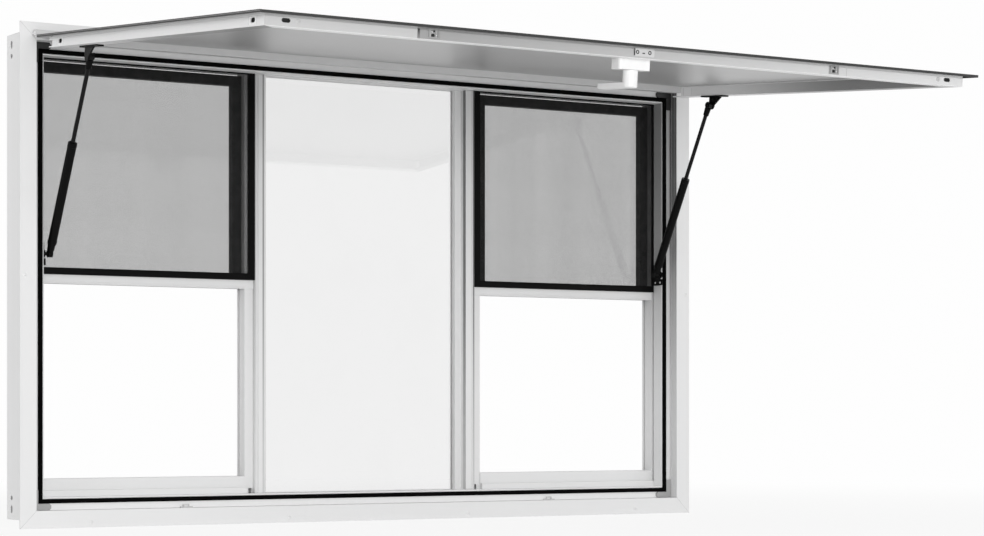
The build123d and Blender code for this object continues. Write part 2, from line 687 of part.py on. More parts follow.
def awning_rails():
    """Side rails and front rail, mitred at the front corners, with the rear rail between them."""
    section = rail_section(RAIL_DEPTH)
    left = awning_side(section, "left", RAIL_MARGIN)
    front = awning_side(section, "bottom", RAIL_MARGIN)
    outer = FLANGE_WIDTH / 2 - RAIL_MARGIN
    inner = outer - RAIL_FACE
    corner = along_x(
        rect(RAIL_TOP, RAIL_BACK, -RAIL_START - RAIL_FACE, -RAIL_START)
        - rect(RAIL_TOP + RAIL_WALL, RAIL_BACK - RAIL_WALL, -RAIL_START - RAIL_FACE, -RAIL_START),
        -outer,
        -inner,
    )
    left = left + corner
    notch_end = -RAIL_START - RAIL_NOTCH
    left -= block(-outer - 1, -inner + 1, RAIL_TOP, RAIL_TOP + HINGE_HOOK_WALL, -HINGE_WEB_BOTTOM, 0)
    left -= block(
        -outer - 1,
        -inner + 1,
        RAIL_TOP + RAIL_NOTCH_STRIP,
        RAIL_BACK - RAIL_WALL,
        notch_end,
        0,
    )
    slots = Sketch()
    for drop in (REAR_SLOT_DROP, RAIL_FRONT_DROP - FRONT_END_SLOT_INSET):
        middle = RAIL_BACK - RAIL_WALL - RAIL_SLOT_HEIGHT
        slots += Pos(middle, -drop) * Rot(0, 0, 90) * SlotOverall(RAIL_SLOT_LENGTH, RAIL_SLOT_HEIGHT)
    left -= along_x(slots, -outer - 1, -outer + RAIL_WALL + 1)
    front_z = -RAIL_FRONT_DROP
    line_front = RAIL_TOP + RAIL_LINE
    line_back = line_front + RAIL_LINE_WIDTH
    left -= block(-outer, -outer + RAIL_LINE_DEPTH, line_front, line_back, front_z, -RAIL_START)
    front -= block(-outer, outer, line_front, line_back, front_z, front_z + RAIL_LINE_DEPTH)
    joint_x = from_left(FRONT_JOINT_INSET)
    joint = block(
        joint_x,
        joint_x + FRONT_JOINT_WIDTH,
        line_back,
        RAIL_BACK,
        front_z,
        front_z + RAIL_LINE_DEPTH,
    )
    front = front - joint - mirrored(joint)
    middle = RAIL_TOP + RAIL_DEPTH / 2
    oval = Pos(from_left(FRONT_SLOT_INSET), middle) * SlotOverall(FRONT_SLOT_LENGTH, FRONT_SLOT_HEIGHT)
    pocket = rect(
        from_left(LATCH_INSET) - LATCH_WIDTH / 2,
        from_left(LATCH_INSET) + LATCH_WIDTH / 2,
        middle - LATCH_HEIGHT / 2,
        middle + LATCH_HEIGHT / 2,
    )
    cuts = along_z(oval + pocket, front_z - 1, front_z + RAIL_WALL + 1)
    front = front - cuts - mirrored(cuts)
    bottom = -RAIL_START - REAR_RAIL_FACE
    back = RAIL_TOP + REAR_RAIL_DEPTH
    shelf = RAIL_TOP + HINGE_HOOK_WALL
    rear = outline(
        (shelf, -RAIL_START),
        (back, -RAIL_START),
        (back, bottom),
        (RAIL_TOP, bottom),
        (RAIL_TOP, -HINGE_WEB_BOTTOM),
        (shelf, -HINGE_WEB_BOTTOM),
    )
    rear -= rect(shelf + RAIL_WALL, back - RAIL_WALL, bottom + RAIL_WALL, -RAIL_START - RAIL_WALL)
    return {
        "awning_rail_left": left,
        "awning_rail_right": mirrored(left),
        "awning_rail_front": front,
        "awning_rail_rear": along_x(rear, -inner, inner),
    }


def latch():
    """Left latch in the pocket of the front rail: a shallow case with a forked hook."""
    x = from_left(LATCH_INSET)
    half = LATCH_WIDTH / 2 - LATCH_CLEARANCE
    z0 = -RAIL_FRONT_DROP
    middle = RAIL_TOP + RAIL_DEPTH / 2
    tall = LATCH_HEIGHT / 2 - LATCH_CLEARANCE
    case = block(x - half, x + half, middle - tall, middle + tall, z0, z0 + LATCH_DEPTH)
    case -= block(
        x - half + RAIL_WALL,
        x + half - RAIL_WALL,
        middle - tall + RAIL_WALL,
        middle + tall - RAIL_WALL,
        z0,
        z0 + LATCH_DEPTH - RAIL_WALL,
    )
    hook_x = from_left(LATCH_INSET)
    for side in (-1, 1):
        near = hook_x + side * LATCH_HOOK_WIDTH / 2
        far = hook_x + side * LATCH_HOOK_WIDTH
        case += block(
            min(near, far), max(near, far), middle - tall, middle + tall, z0, z0 + LATCH_DEPTH
        )
    return case


def lock_plate():
    """Plate over the lock in the middle of the front rail."""
    z0 = -RAIL_FRONT_DROP
    middle = RAIL_TOP + RAIL_DEPTH / 2
    face = Pos(0, middle) * RectangleRounded(LOCK_PLATE_WIDTH, LOCK_PLATE_HEIGHT, LOCK_PLATE_HEIGHT / 5)
    return along_z(face, z0 - LOCK_PLATE_THICK, z0)


def strut_bracket():
    """Left bracket under the side rail: a plate, a tapered lug and the pin of the strut."""
    x0 = from_left(BRACKET_INSET)
    z1 = -BRACKET_START
    top = RAIL_BACK + BRACKET_THICK
    plate = block(x0, x0 + BRACKET_WIDTH, RAIL_BACK, top, z1 - BRACKET_LENGTH, z1)
    pivot = -STRUT_TOP_DROP
    base_middle = z1 - BRACKET_LENGTH / 2
    lug = outline(
        (top, base_middle + LUG_BASE / 2),
        (top, base_middle - LUG_BASE / 2),
        (STRUT_TOP_DEPTH, pivot - LUG_RADIUS),
        (STRUT_TOP_DEPTH, pivot + LUG_RADIUS),
    )
    lug += Pos(STRUT_TOP_DEPTH, pivot) * Circle(LUG_RADIUS)
    lug_x = from_left(LUG_INSET)
    bracket = plate + along_x(lug, lug_x, lug_x + LUG_THICK)
    eye_end = from_left(STRUT_INSET) + EYE_WIDTH / 2
    pin = Pos(STRUT_TOP_DEPTH, pivot) * Circle(PIN_RADIUS)
    head = Pos(STRUT_TOP_DEPTH, pivot) * Circle(PIN_RADIUS + PIN_HEAD)
    head_start = eye_end + SEAT_CLEARANCE
    bracket += along_x(pin, lug_x + LUG_THICK, head_start)
    return bracket + along_x(head, head_start, head_start + PIN_HEAD)


def handle_housing():
    """Housing of the handle: a foot on the skin, a body lapping the front rail, the spindle's bore."""
    end = -RAIL_INNER_DROP - HOUSING_LAP
    foot_end = -RAIL_INNER_DROP + HOUSING_CLEARANCE
    start = end + HOUSING_LENGTH
    top = RAIL_TOP + HOUSING_HEIGHT
    body = Pos(0, (start + end) / 2) * RectangleRounded(HOUSING_WIDTH, HOUSING_LENGTH, HOUSING_ROUND)
    foot = rect(-HOUSING_WIDTH / 2 + HOUSING_ROUND, HOUSING_WIDTH / 2 - HOUSING_ROUND, foot_end, start)
    housing = along_y(foot, RAIL_TOP, RAIL_BACK) + along_y(body, RAIL_BACK, top)
    bore = Pos(0, -STEM_DROP) * Circle(SPINDLE_RADIUS + SPINDLE_FIT)
    return housing - along_y(bore, top - SPINDLE_LENGTH - SEAT_CLEARANCE, top)


def handle_stem():
    """Round stem of the handle with the spindle that turns in the housing."""
    start = RAIL_TOP + HOUSING_HEIGHT + SEAT_CLEARANCE
    stem = along_y(Pos(0, -STEM_DROP) * Circle(STEM_RADIUS), start, start + STEM_HEIGHT)
    spindle = Pos(0, -STEM_DROP) * Circle(SPINDLE_RADIUS)
    return stem + along_y(spindle, start - SPINDLE_LENGTH, start)


def handle_lever():
    """Flat rounded lever on the stem, pointing towards the hinge."""
    start = RAIL_TOP + HOUSING_HEIGHT + SEAT_CLEARANCE + STEM_HEIGHT
    middle = -STEM_DROP - STEM_RADIUS + LEVER_LENGTH / 2
    face = Pos(0, middle) * Rot(0, 0, 90) * SlotOverall(LEVER_LENGTH, 2 * STEM_RADIUS)
    lever = along_y(face, start, start + LEVER_THICK)
    rim = lever.faces().sort_by(Axis.Y)[-1].edges()
    return chamfer(rim, LEVER_CHAMFER)


def strut_top():
    """Upper pivot of the strut with the awning open, as Y and Z."""
    angle = math.radians(OPEN_ANGLE)
    y = HINGE_Y - STRUT_TOP_DROP * math.sin(angle) + STRUT_TOP_DEPTH * math.cos(angle)
    z = HINGE_Z - STRUT_TOP_DROP * math.cos(angle) - STRUT_TOP_DEPTH * math.sin(angle)
    return y, z


def strut_length():
    """Distance between the strut's pivots with the awning open."""
    y, z = strut_top()
    return math.hypot(y - STRUT_FOOT_DEPTH, z - STRUT_FOOT_HEIGHT)


def strut_placed(solid):
    """Move a piece drawn down from the strut's upper pivot to its place at rest."""
    y, z = strut_top()
    lean = math.degrees(math.atan2(STRUT_FOOT_DEPTH - y, z - STRUT_FOOT_HEIGHT))
    return Pos(from_left(STRUT_INSET), y, z) * Rot(lean, 0, 0) * solid


def strut_eye():
    """Eye at the end of the strut, bored for its pin."""
    return Circle(EYE_RADIUS)


def strut_rod():
    """Rod of the left strut with its eye and the piston on its lower end."""
    inside = strut_length() - STRUT_END - CYLINDER_LENGTH
    end = -inside - CYLINDER_CAP - ROD_PISTON_LENGTH - SEAT_CLEARANCE
    rod = along_z(Circle(ROD_RADIUS), end, -EYE_RADIUS)
    bore = CYLINDER_RADIUS - CYLINDER_WALL
    rod += along_z(Circle(bore - STRUT_FIT), end, end + ROD_PISTON_LENGTH)
    rod += along_z(Circle(EYE_NECK_RADIUS), -STRUT_END, -EYE_RADIUS / 2)
    rod += along_x(strut_eye(), -EYE_WIDTH / 2, EYE_WIDTH / 2)
    return rod - along_x(Circle(PIN_RADIUS + STRUT_FIT), -EYE_WIDTH, EYE_WIDTH)


def strut_cylinder():
    """Cylinder of the left strut with its lower eye and stud."""
    length = strut_length()
    bottom = STRUT_END - length
    top = bottom + CYLINDER_LENGTH
    bore = CYLINDER_RADIUS - CYLINDER_WALL
    tube = along_z(Circle(CYLINDER_RADIUS), bottom, top)
    tube -= along_z(Circle(bore), bottom + CYLINDER_CAP, top - CYLINDER_CAP)
    tube -= along_z(Circle(ROD_RADIUS + STRUT_FIT), top - CYLINDER_CAP, top)
    tube += along_z(Circle(EYE_NECK_RADIUS), EYE_RADIUS / 2 - length, bottom)
    eye = along_x(strut_eye(), -EYE_WIDTH / 2, EYE_WIDTH / 2)
    stud_end = INNER_INSET + FOOT_THICK + FOOT_PIN_CLEARANCE - STRUT_INSET
    eye += along_x(Circle(PIN_RADIUS), stud_end, 0)
    return tube + Pos(0, 0, -length) * eye


def build_nodes():
    """All pieces by name, the awning open."""
    nodes = frame_nodes()
    nodes["gasket"] = gasket()
    nodes["corner_keys"] = corner_keys()
    nodes.update(centre_nodes())
    pairs = {
        "mullion_{}": mullion(),
        "side_track_{}": side_track(),
        "transom_{}": transom(),
        "sill_track_{}": sill_track(),
        "striker_{}": striker(),
        "strut_foot_{}": strut_foot(),
        "latch_{}": awning_open(latch()),
        "strut_bracket_{}": awning_open(strut_bracket()),
        "strut_rod_{}": strut_placed(strut_rod()),
        "strut_cylinder_{}": strut_placed(strut_cylinder()),
    }
    pairs.update({"sash_{}_" + name: solid for name, solid in sash_nodes().items()})
    pairs.update({"screen_{}_" + name: solid for name, solid in screen_nodes().items()})
    for name, solid in pairs.items():
        nodes[name.format("left")] = solid
        nodes[name.format("right")] = mirrored(solid)
    nodes["awning_skin"] = awning_open(awning_skin())
    nodes["awning_edge_trim"] = awning_open(awning_edge_trim())
    nodes["awning_hinge_rail"] = awning_open(awning_hinge_rail())
    for name, solid in awning_rails().items():
        nodes[name] = awning_open(solid)
    nodes["lock_plate"] = awning_open(lock_plate())
    nodes["handle_housing"] = awning_open(handle_housing())
    nodes["handle_stem"] = awning_open(handle_stem())
    nodes["handle_lever"] = awning_open(handle_lever())
    return nodes


os.makedirs("parts", exist_ok=True)
for node_name, node_solid in build_nodes().items():
    export_step(node_solid, os.path.join("parts", node_name + ".step"))
top_y, top_z = strut_top()
print("hinge axis", HINGE_Y, HINGE_Z)
print("strut top", round(top_y, 3), round(top_z, 3), "length", round(strut_length(), 3))
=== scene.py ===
"""Concession window: an awning on gas struts over two screened sashes and a fixed centre glass."""

import json
import logging
import math
from dataclasses import dataclass, field
from enum import Enum
from typing import Any, Callable, Dict, Iterable, List, Mapping, Optional, Sequence, Tuple, Union

import bmesh
import bpy
from mathutils import Matrix, Vector


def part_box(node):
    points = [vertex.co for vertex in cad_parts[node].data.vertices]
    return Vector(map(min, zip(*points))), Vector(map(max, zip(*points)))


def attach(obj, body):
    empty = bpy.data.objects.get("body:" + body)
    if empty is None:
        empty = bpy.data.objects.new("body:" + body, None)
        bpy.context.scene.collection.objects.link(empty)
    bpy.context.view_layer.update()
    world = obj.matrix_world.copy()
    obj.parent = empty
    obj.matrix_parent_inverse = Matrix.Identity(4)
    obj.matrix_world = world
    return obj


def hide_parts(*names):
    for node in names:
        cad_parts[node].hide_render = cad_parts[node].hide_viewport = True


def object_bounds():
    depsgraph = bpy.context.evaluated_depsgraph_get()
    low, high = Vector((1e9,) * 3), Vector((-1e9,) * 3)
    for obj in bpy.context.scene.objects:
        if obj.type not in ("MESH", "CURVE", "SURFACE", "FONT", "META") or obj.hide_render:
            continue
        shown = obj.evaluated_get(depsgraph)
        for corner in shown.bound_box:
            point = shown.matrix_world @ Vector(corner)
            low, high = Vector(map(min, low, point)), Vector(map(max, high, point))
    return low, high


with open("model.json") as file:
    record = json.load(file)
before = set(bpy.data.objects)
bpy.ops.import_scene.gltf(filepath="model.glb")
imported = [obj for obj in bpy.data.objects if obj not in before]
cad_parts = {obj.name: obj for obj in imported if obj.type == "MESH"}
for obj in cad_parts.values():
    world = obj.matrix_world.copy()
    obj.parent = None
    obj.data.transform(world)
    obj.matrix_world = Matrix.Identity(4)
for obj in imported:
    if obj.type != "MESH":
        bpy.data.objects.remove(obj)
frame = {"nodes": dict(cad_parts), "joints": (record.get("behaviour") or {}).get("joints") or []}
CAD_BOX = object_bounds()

LOG = logging.getLogger("concession_window")
MM = 0.001
HALF_WIDTH = CAD_BOX[1].x
FLANGE_LOW = CAD_BOX[0].z
FLANGE_HIGH = CAD_BOX[1].z
SIDE_SLOT_DROPS = (77.0 * MM, 839.0 * MM)
SIDE_SLOT_DEPTH = 16.0 * MM
Colour = Tuple[float, float, float, float]
Number = Union["Signal", float]
Pair = Tuple[float, float]
Profile = Tuple[Pair, ...]
Mesh = bmesh.types.BMesh


def grey(level: float, warmth: float = 0.0) -> Colour:
    """Return a neutral colour of this linear level, a little warmer above zero warmth."""
    return (level * (1 + warmth), level, level * (1 - warmth), 1.0)


@dataclass(frozen=True)
class Mark:
    """A mark on a surface: its grey level, and how much of what is under it it covers."""

    level: float
    share: float = 1.0


class Side(Enum):
    """The two sides of the window, seen from the front."""

    LEFT = "left"
    RIGHT = "right"

    @property
    def sign(self) -> float:
        """Return -1 on the left and 1 on the right."""
        return -1.0 if self is Side.LEFT else 1.0


def operator(operation: str, swapped: bool = False) -> Callable[..., "Signal"]:
    """Make a method that adds one Math node.

    Args:
        operation: The node's operation.
        swapped: True where the other value comes first.

    Returns:
        The method, which gives the node's result.
    """

    def method(signal: "Signal", *others: Number) -> "Signal":
        """Add the node and return its result."""
        values = (*others, signal) if swapped else (signal, *others)
        return signal.bench.node("ShaderNodeMath", {"operation": operation}, dict(enumerate(values)))

    return method


class Signal:
    """A value that travels through a material's nodes; its operators add Math nodes."""

    __add__ = operator("ADD")
    __radd__ = operator("ADD", swapped=True)
    __sub__ = operator("SUBTRACT")
    __rsub__ = operator("SUBTRACT", swapped=True)
    __mul__ = operator("MULTIPLY")
    __rmul__ = operator("MULTIPLY", swapped=True)
    __truediv__ = operator("DIVIDE")
    __pow__ = operator("POWER")
    __abs__ = operator("ABSOLUTE")
    lower_of = operator("MINIMUM")
    higher_of = operator("MAXIMUM")
    below = operator("LESS_THAN")

    def __init__(self, bench: "Bench", socket: bpy.types.NodeSocket) -> None:
        """Keep the bench that adds nodes and the socket that gives the value."""
        self.bench = bench
        self.socket = socket

    def above(self, other: Number) -> "Signal":
        """Return 0 where the value is below other, else 1."""
        return 1.0 - self.below(other)

    def between(self, low: Number, high: Number) -> "Signal":
        """Return 1 where the value lies between two others, else 0."""
        return self.below(high) * self.above(low)

    def clamped(self) -> "Signal":
        """Return the value held between 0 and 1."""
        return self.lower_of(1.0).higher_of(0.0)

    def ramp(self, start: float, end: float) -> "Signal":
        """Return a smooth climb from 0 at start to 1 at end."""
        settings = {"interpolation_type": "SMOOTHSTEP"}
        inputs = {"Value": self, "From Min": start, "From Max": end, "To Min": 0.0, "To Max": 1.0}
        return self.bench.node("ShaderNodeMapRange", settings, inputs)


class Bench:
    """Builds the node tree of one material, or of the world."""

    def __init__(self, owner: Union[bpy.types.Material, bpy.types.World]) -> None:
        """Empty the owner's node tree and keep it."""
        owner.use_nodes = True
        self.tree = owner.node_tree
        self.tree.nodes.clear()

    def node(
        self,
        kind: str,
        settings: Optional[Mapping[str, Any]] = None,
        inputs: Optional[Mapping[Any, Any]] = None,
        output: Union[int, str] = 0,
    ) -> Signal:
        """Add any node.

        Args:
            kind: The node's type.
            settings: Its own settings, set first.
            inputs: Values or links for its sockets, by name or number.
            output: The output that is returned.

        Returns:
            The chosen output as a signal.
        """
        made = self.tree.nodes.new(kind)
        for name, value in (settings or {}).items():
            setattr(made, name, value)
        for key, value in (inputs or {}).items():
            if isinstance(value, Signal):
                self.tree.links.new(value.socket, made.inputs[key])
            else:
                made.inputs[key].default_value = value
        return Signal(self, made.outputs[output])

    def place(self) -> Signal:
        """Return the point on the surface in the object's own coordinates."""
        return self.node("ShaderNodeTexCoord", output="Object")

    def axes(self, place: Signal) -> Tuple[Signal, Signal, Signal]:
        """Return the three parts of a point.

        Args:
            place: The point.

        Returns:
            Its x, y and z.
        """
        x = self.node("ShaderNodeSeparateXYZ", inputs={0: place})
        outputs = x.socket.node.outputs
        return x, Signal(self, outputs[1]), Signal(self, outputs[2])

    def stretched(self, place: Signal, scale: Sequence[float]) -> Signal:
        """Return the point scaled along its axes."""
        return self.node("ShaderNodeMapping", inputs={"Vector": place, "Scale": tuple(scale)})

    def noise(self, place: Signal, scale: float, detail: float = 2.0) -> Signal:
        """Return smooth noise about 0.5, with scale waves per metre and detail finer octaves."""
        inputs = {"Vector": place, "Scale": scale, "Detail": detail, "Roughness": 0.55}
        return self.node("ShaderNodeTexNoise", {"noise_dimensions": "3D"}, inputs)

    def blend(
        self, first: Union[Signal, Colour], second: Union[Signal, Colour], share: Number
    ) -> Signal:
        """Return a colour between the first, at share 0, and the second, at share 1."""
        return self.node("ShaderNodeMix", {"data_type": "RGBA"}, {0: share, 6: first, 7: second}, 2)

    def mark(self, colour: Signal, mark: Mark, mask: Signal) -> Signal:
        """Return a colour with a mark drawn on it where the mask is 1."""
        return self.blend(colour, grey(mark.level), mask * mark.share)

    def rounded_normal(self, radius: float) -> Signal:
        """Return the normal as if every edge had this small radius."""
        return self.node("ShaderNodeBevel", {"samples": 4}, {"Radius": radius})

    def edge(self, rounded: Signal) -> Signal:
        """Return a mask of the edges.

        Args:
            rounded: The rounded normal.

        Returns:
            0 on flat faces, towards 1 on edges.
        """
        flat = self.node("ShaderNodeNewGeometry", output="Normal")
        settings = {"operation": "DOT_PRODUCT"}
        facing = self.node("ShaderNodeVectorMath", settings, {0: rounded, 1: flat}, "Value")
        return ((1.0 - facing) * 5.0).clamped()

    def bump(
        self, height: Signal, strength: float, distance: float, normal: Optional[Signal] = None
    ) -> Signal:
        """Return a normal disturbed by a height.

        Args:
            height: The height, about 0 to 1.
            strength: How much of it is used.
            distance: The height of 1, in metres.
            normal: The normal underneath, if it isn't the face's own.

        Returns:
            The new normal.
        """
        inputs: Dict[Any, Any] = {"Strength": strength, "Distance": distance, "Height": height}
        if normal is not None:
            inputs["Normal"] = normal
        return self.node("ShaderNodeBump", inputs=inputs)

    def surface(self, **inputs: Any) -> None:
        """Finish the material with one Principled shader, its sockets named with underscores."""
        named = {name.replace("_", " "): value for name, value in inputs.items()}
        shader = self.node("ShaderNodeBsdfPrincipled", inputs=named)
        self.node_output(shader, "ShaderNodeOutputMaterial")

    def node_output(self, shader: Signal, kind: str) -> None:
        """Link a shader to a new output node of this kind."""
        target = self.tree.nodes.new(kind)
        self.tree.links.new(shader.socket, target.inputs["Surface"])


@dataclass(frozen=True)
class Finish:
    """A surface finish, made into a material once and shared."""

    name: str

    def material(self) -> bpy.types.Material:
        """Return this finish's material, making it the first time."""
        known = bpy.data.materials.get(self.name)
        if known is None:
            known = bpy.data.materials.new(self.name)
            self.lay(Bench(known))
        return known

    def lay(self, bench: Bench) -> None:
        """Add the finish's nodes; every finish has its own."""
        raise NotImplementedError


@dataclass(frozen=True)
class PowderCoat(Finish):
    """Baked powder paint on aluminium: fine orange peel, faint clouds and softly rounded edges, with a
    painted highlight along them.
    """

    level: float = 0.78
    gloss: float = 0.42
    round_edge: float = 0.5 * MM

    def tint(self, bench: Bench, place: Signal, colour: Signal) -> Signal:
        """Return the paint's colour at a place; a subclass may draw on it."""
        return colour

    def lay(self, bench: Bench) -> None:
        """Add the paint's nodes."""
        place = bench.place()
        clouds = bench.noise(place, scale=2.6, detail=3.0)
        streaks = bench.noise(bench.stretched(place, (1.0, 1.0, 0.12)), scale=55.0)
        peel = bench.noise(place, scale=640.0)
        rounded = bench.rounded_normal(self.round_edge)
        edge = bench.edge(rounded)
        base = bench.blend(grey(self.level * 0.965, 0.002), grey(self.level * 1.02, -0.004), clouds)
        base = bench.blend(base, grey(self.level * 0.93), streaks.ramp(0.58, 0.8) * 0.16)
        # painted highlight: the base colour is lighter along the edges
        base = bench.blend(base, grey(min(self.level * 1.12, 0.92)), edge * 0.35)
        rough = self.gloss + 0.10 * (clouds - 0.5) + 0.08 * (peel - 0.5)
        bench.surface(
            Base_Color=self.tint(bench, place, base),
            Roughness=rough,
            Normal=bench.bump(peel, 0.10, 0.0003, rounded),
            Specular_IOR_Level=0.42,
        )


@dataclass(frozen=True)
class MitredCoat(PowderCoat):
    """Paint of the perimeter frame: hairlines in its corners, painted light on the sill and painted
    shade in the jambs.
    """

    reach: float = 33.5 * MM
    hairline: float = 0.45 * MM
    hairline_mark: Mark = Mark(0.30, 0.75)
    sill: Pair = (33.6 * MM, 98.0 * MM)
    sill_top: float = 0.12
    sill_light_mark: Mark = Mark(0.93, 0.85)
    lip: float = 0.4 * MM
    margin: float = 1.0 * MM
    inner: float = 56.5 * MM
    shade_climb: Pair = (0.16, 0.80)
    shade_mark: Mark = Mark(0.04)
    wall_shade: float = 0.40
    lip_shade: float = 0.50
    inner_shade: float = 0.34

    def tint(self, bench: Bench, place: Signal, colour: Signal) -> Signal:
        """Return the paint with its joints, the painted light on its sill and the painted shade in its
        jambs.
        """
        x, y, z = bench.axes(place)
        side = HALF_WIDTH - abs(x)
        level = (z - FLANGE_LOW).lower_of(FLANGE_HIGH - z)
        on_jamb = side.below(level)
        near = 1.0 - abs(side - level).ramp(self.hairline * 0.4, self.hairline)
        colour = bench.mark(colour, self.hairline_mark, near * side.below(self.reach))
        # painted light: the sill near the frame's foot is brightened
        foot = (1.0 - on_jamb) * z.below(self.sill_top)
        colour = bench.mark(colour, self.sill_light_mark, level.between(*self.sill) * foot)
        recess = on_jamb * side.above(self.reach - self.margin) * y.above(-self.margin)
        shade = self.wall_shade + self.lip_shade * side.below(self.reach + self.lip)
        shade = shade + self.inner_shade * side.above(self.inner)
        return bench.mark(colour, self.shade_mark, recess * z.ramp(*self.shade_climb) * shade)


@dataclass(frozen=True)
class RecessCoat(PowderCoat):
    """Paint of the bars inside the frame, with painted shade towards the head and painted shadow in the
    mullions' gaps.
    """

    shade_climb: Pair = (0.25, 0.95)
    shade_mark: Mark = Mark(0.06, 0.34)
    inner_gap: Pair = (236.5 * MM, 240.5 * MM)
    outer_gap: Pair = (254.6 * MM, 258.5 * MM)
    gap_face: Pair = (49.0 * MM, 60.5 * MM)
    front_face: float = 50.5 * MM
    gap_climb: Pair = (0.0, 0.55)
    gap_shadow_mark: Mark = Mark(0.03)
    inner_shares: Pair = (0.62, 0.18)
    outer_shares: Pair = (0.30, 0.52)
    foot_share: float = 0.3

    def tint(self, bench: Bench, place: Signal, colour: Signal) -> Signal:
        """Return the paint with its painted shade and its painted shadow gaps, each stronger on the
        right bars.
        """
        x, y, z = bench.axes(place)
        colour = bench.mark(colour, self.shade_mark, z.ramp(*self.shade_climb))
        across = abs(x)
        right = x.above(0.0)
        strength, extra = self.inner_shares
        inner = across.between(*self.inner_gap) * (strength + extra * right)
        inner = inner * (1.0 - right * y.below(self.front_face))
        strength, extra = self.outer_shares
        outer = across.between(*self.outer_gap) * (strength + extra * right)
        climb = self.foot_share + (1.0 - self.foot_share) * z.ramp(*self.gap_climb)
        # painted shadow in the gaps beside the mullions, weaker towards the foot
        gap_shadow = inner.higher_of(outer) * y.between(*self.gap_face) * climb
        return bench.mark(colour, self.gap_shadow_mark, gap_shadow)


def closed_spans(bench: Bench, place: Signal) -> Tuple[Signal, Signal, Signal]:
    """Find a point's place on the closed awning.

    Args:
        bench: The material's bench.
        place: The point in the object's own coordinates.

    Returns:
        X, the drop from the hinge axis, and the depth from it towards the inside.
    """
    hinge = joint_place("awning_hinge")
    turn = math.radians(joint_row("awning_hinge")["range_deg"][1])
    x, y, z = bench.axes(place)
    out = y - hinge.y
    up = z - hinge.z
    drop = out * -math.sin(turn) - up * math.cos(turn)
    depth = out * math.cos(turn) - up * math.sin(turn)
    return x, drop, depth


@dataclass(frozen=True)
class SideRailCoat(PowderCoat):
    """Paint of the side rails, with a bright end plate round each slot."""

    plate: Pair = (13.0 * MM, 7.5 * MM)
    plate_mark: Mark = Mark(0.93, 0.8)
    border: float = 0.9 * MM
    border_mark: Mark = Mark(0.45, 0.6)
    outer_face: float = 733.0 * MM
    rail_inner_shade_depth: float = 6.0 * MM
    rail_inner_shade_climb: Pair = (0.10, 0.62)
    rail_inner_shade_mark: Mark = Mark(0.10, 0.78)

    def tint(self, bench: Bench, place: Signal, colour: Signal) -> Signal:
        """Return the paint with its bright plates and painted shade on its inner face, darker towards
        the front.
        """
        x, drop, depth = closed_spans(bench, place)
        half_length, half_width = self.plate
        # painted shade on the inner face, growing with the drop from the hinge
        inner = abs(x).below(self.outer_face) * depth.above(self.rail_inner_shade_depth) * drop.ramp(*self.rail_inner_shade_climb)
        colour = bench.mark(colour, self.rail_inner_shade_mark, inner)
        level = abs(depth - SIDE_SLOT_DEPTH).below(half_width)
        for slot in SIDE_SLOT_DROPS:
            across = abs(drop - slot)
            colour = bench.mark(colour, self.plate_mark, across.below(half_length) * level)
            border = across.between(half_length, half_length + self.border)
            colour = bench.mark(colour, self.border_mark, border * level)
        return colour


@dataclass(frozen=True)
class FrontRailCoat(PowderCoat):
    """Paint of the front rail: painted shade on its end face, a dark joint on the left and painted
    light on its underside.
    """

    face_drop: float = 877.6 * MM
    joint: Pair = (449.7 * MM, 454.3 * MM)
    joint_depth: Pair = (9.0 * MM, 24.0 * MM)
    joint_mark: Mark = Mark(0.03)
    joint_fade: float = 0.7
    face_shade: float = 0.74
    end_face_shade: float = 0.38
    face_shade_mark: Mark = Mark(0.18)
    clear_at: float = 0.80
    underside: float = 25.4 * MM
    underside_light_mark: Mark = Mark(0.93, 0.9)

    def tint(self, bench: Bench, place: Signal, colour: Signal) -> Signal:
        """Return the paint with painted shade on the latch face, dark in its joint and with painted
        light on its underside.
        """
        x, drop, depth = closed_spans(bench, place)
        face = drop.above(self.face_drop)
        start = self.joint[1]
        past = x.above(-start)
        fade = ((x + start) / (self.clear_at + start)).clamped()
        # painted shade on the end face, fading out towards the right
        face_shade_share = past * (1.0 - fade) * self.face_shade + (1.0 - past) * self.end_face_shade
        colour = bench.mark(colour, self.face_shade_mark, face_shade_share * face)
        joint = (-1.0 * x).between(*self.joint) * depth.between(*self.joint_depth) * face
        joint = joint * (1.0 - self.joint_fade * depth.ramp(*self.joint_depth))
        colour = bench.mark(colour, self.joint_mark, joint)
        # painted light on the underside
        return bench.mark(colour, self.underside_light_mark, depth.above(self.underside))


@dataclass(frozen=True)
class TrimCoat(PowderCoat):
    """Dark folded trim with a painted highlight along its fold on the sides."""

    fold_highlight: Pair = (4.9 * MM, 5.7 * MM)
    fold_highlight_mark: Mark = Mark(0.25)
    side: float = 753.5 * MM

    def tint(self, bench: Bench, place: Signal, colour: Signal) -> Signal:
        """Return the trim's colour with the painted highlight on its fold."""
        x, _, depth = closed_spans(bench, place)
        # painted highlight along the fold
        fold_highlight = depth.between(*self.fold_highlight) * abs(x).above(self.side)
        return bench.mark(colour, self.fold_highlight_mark, fold_highlight)


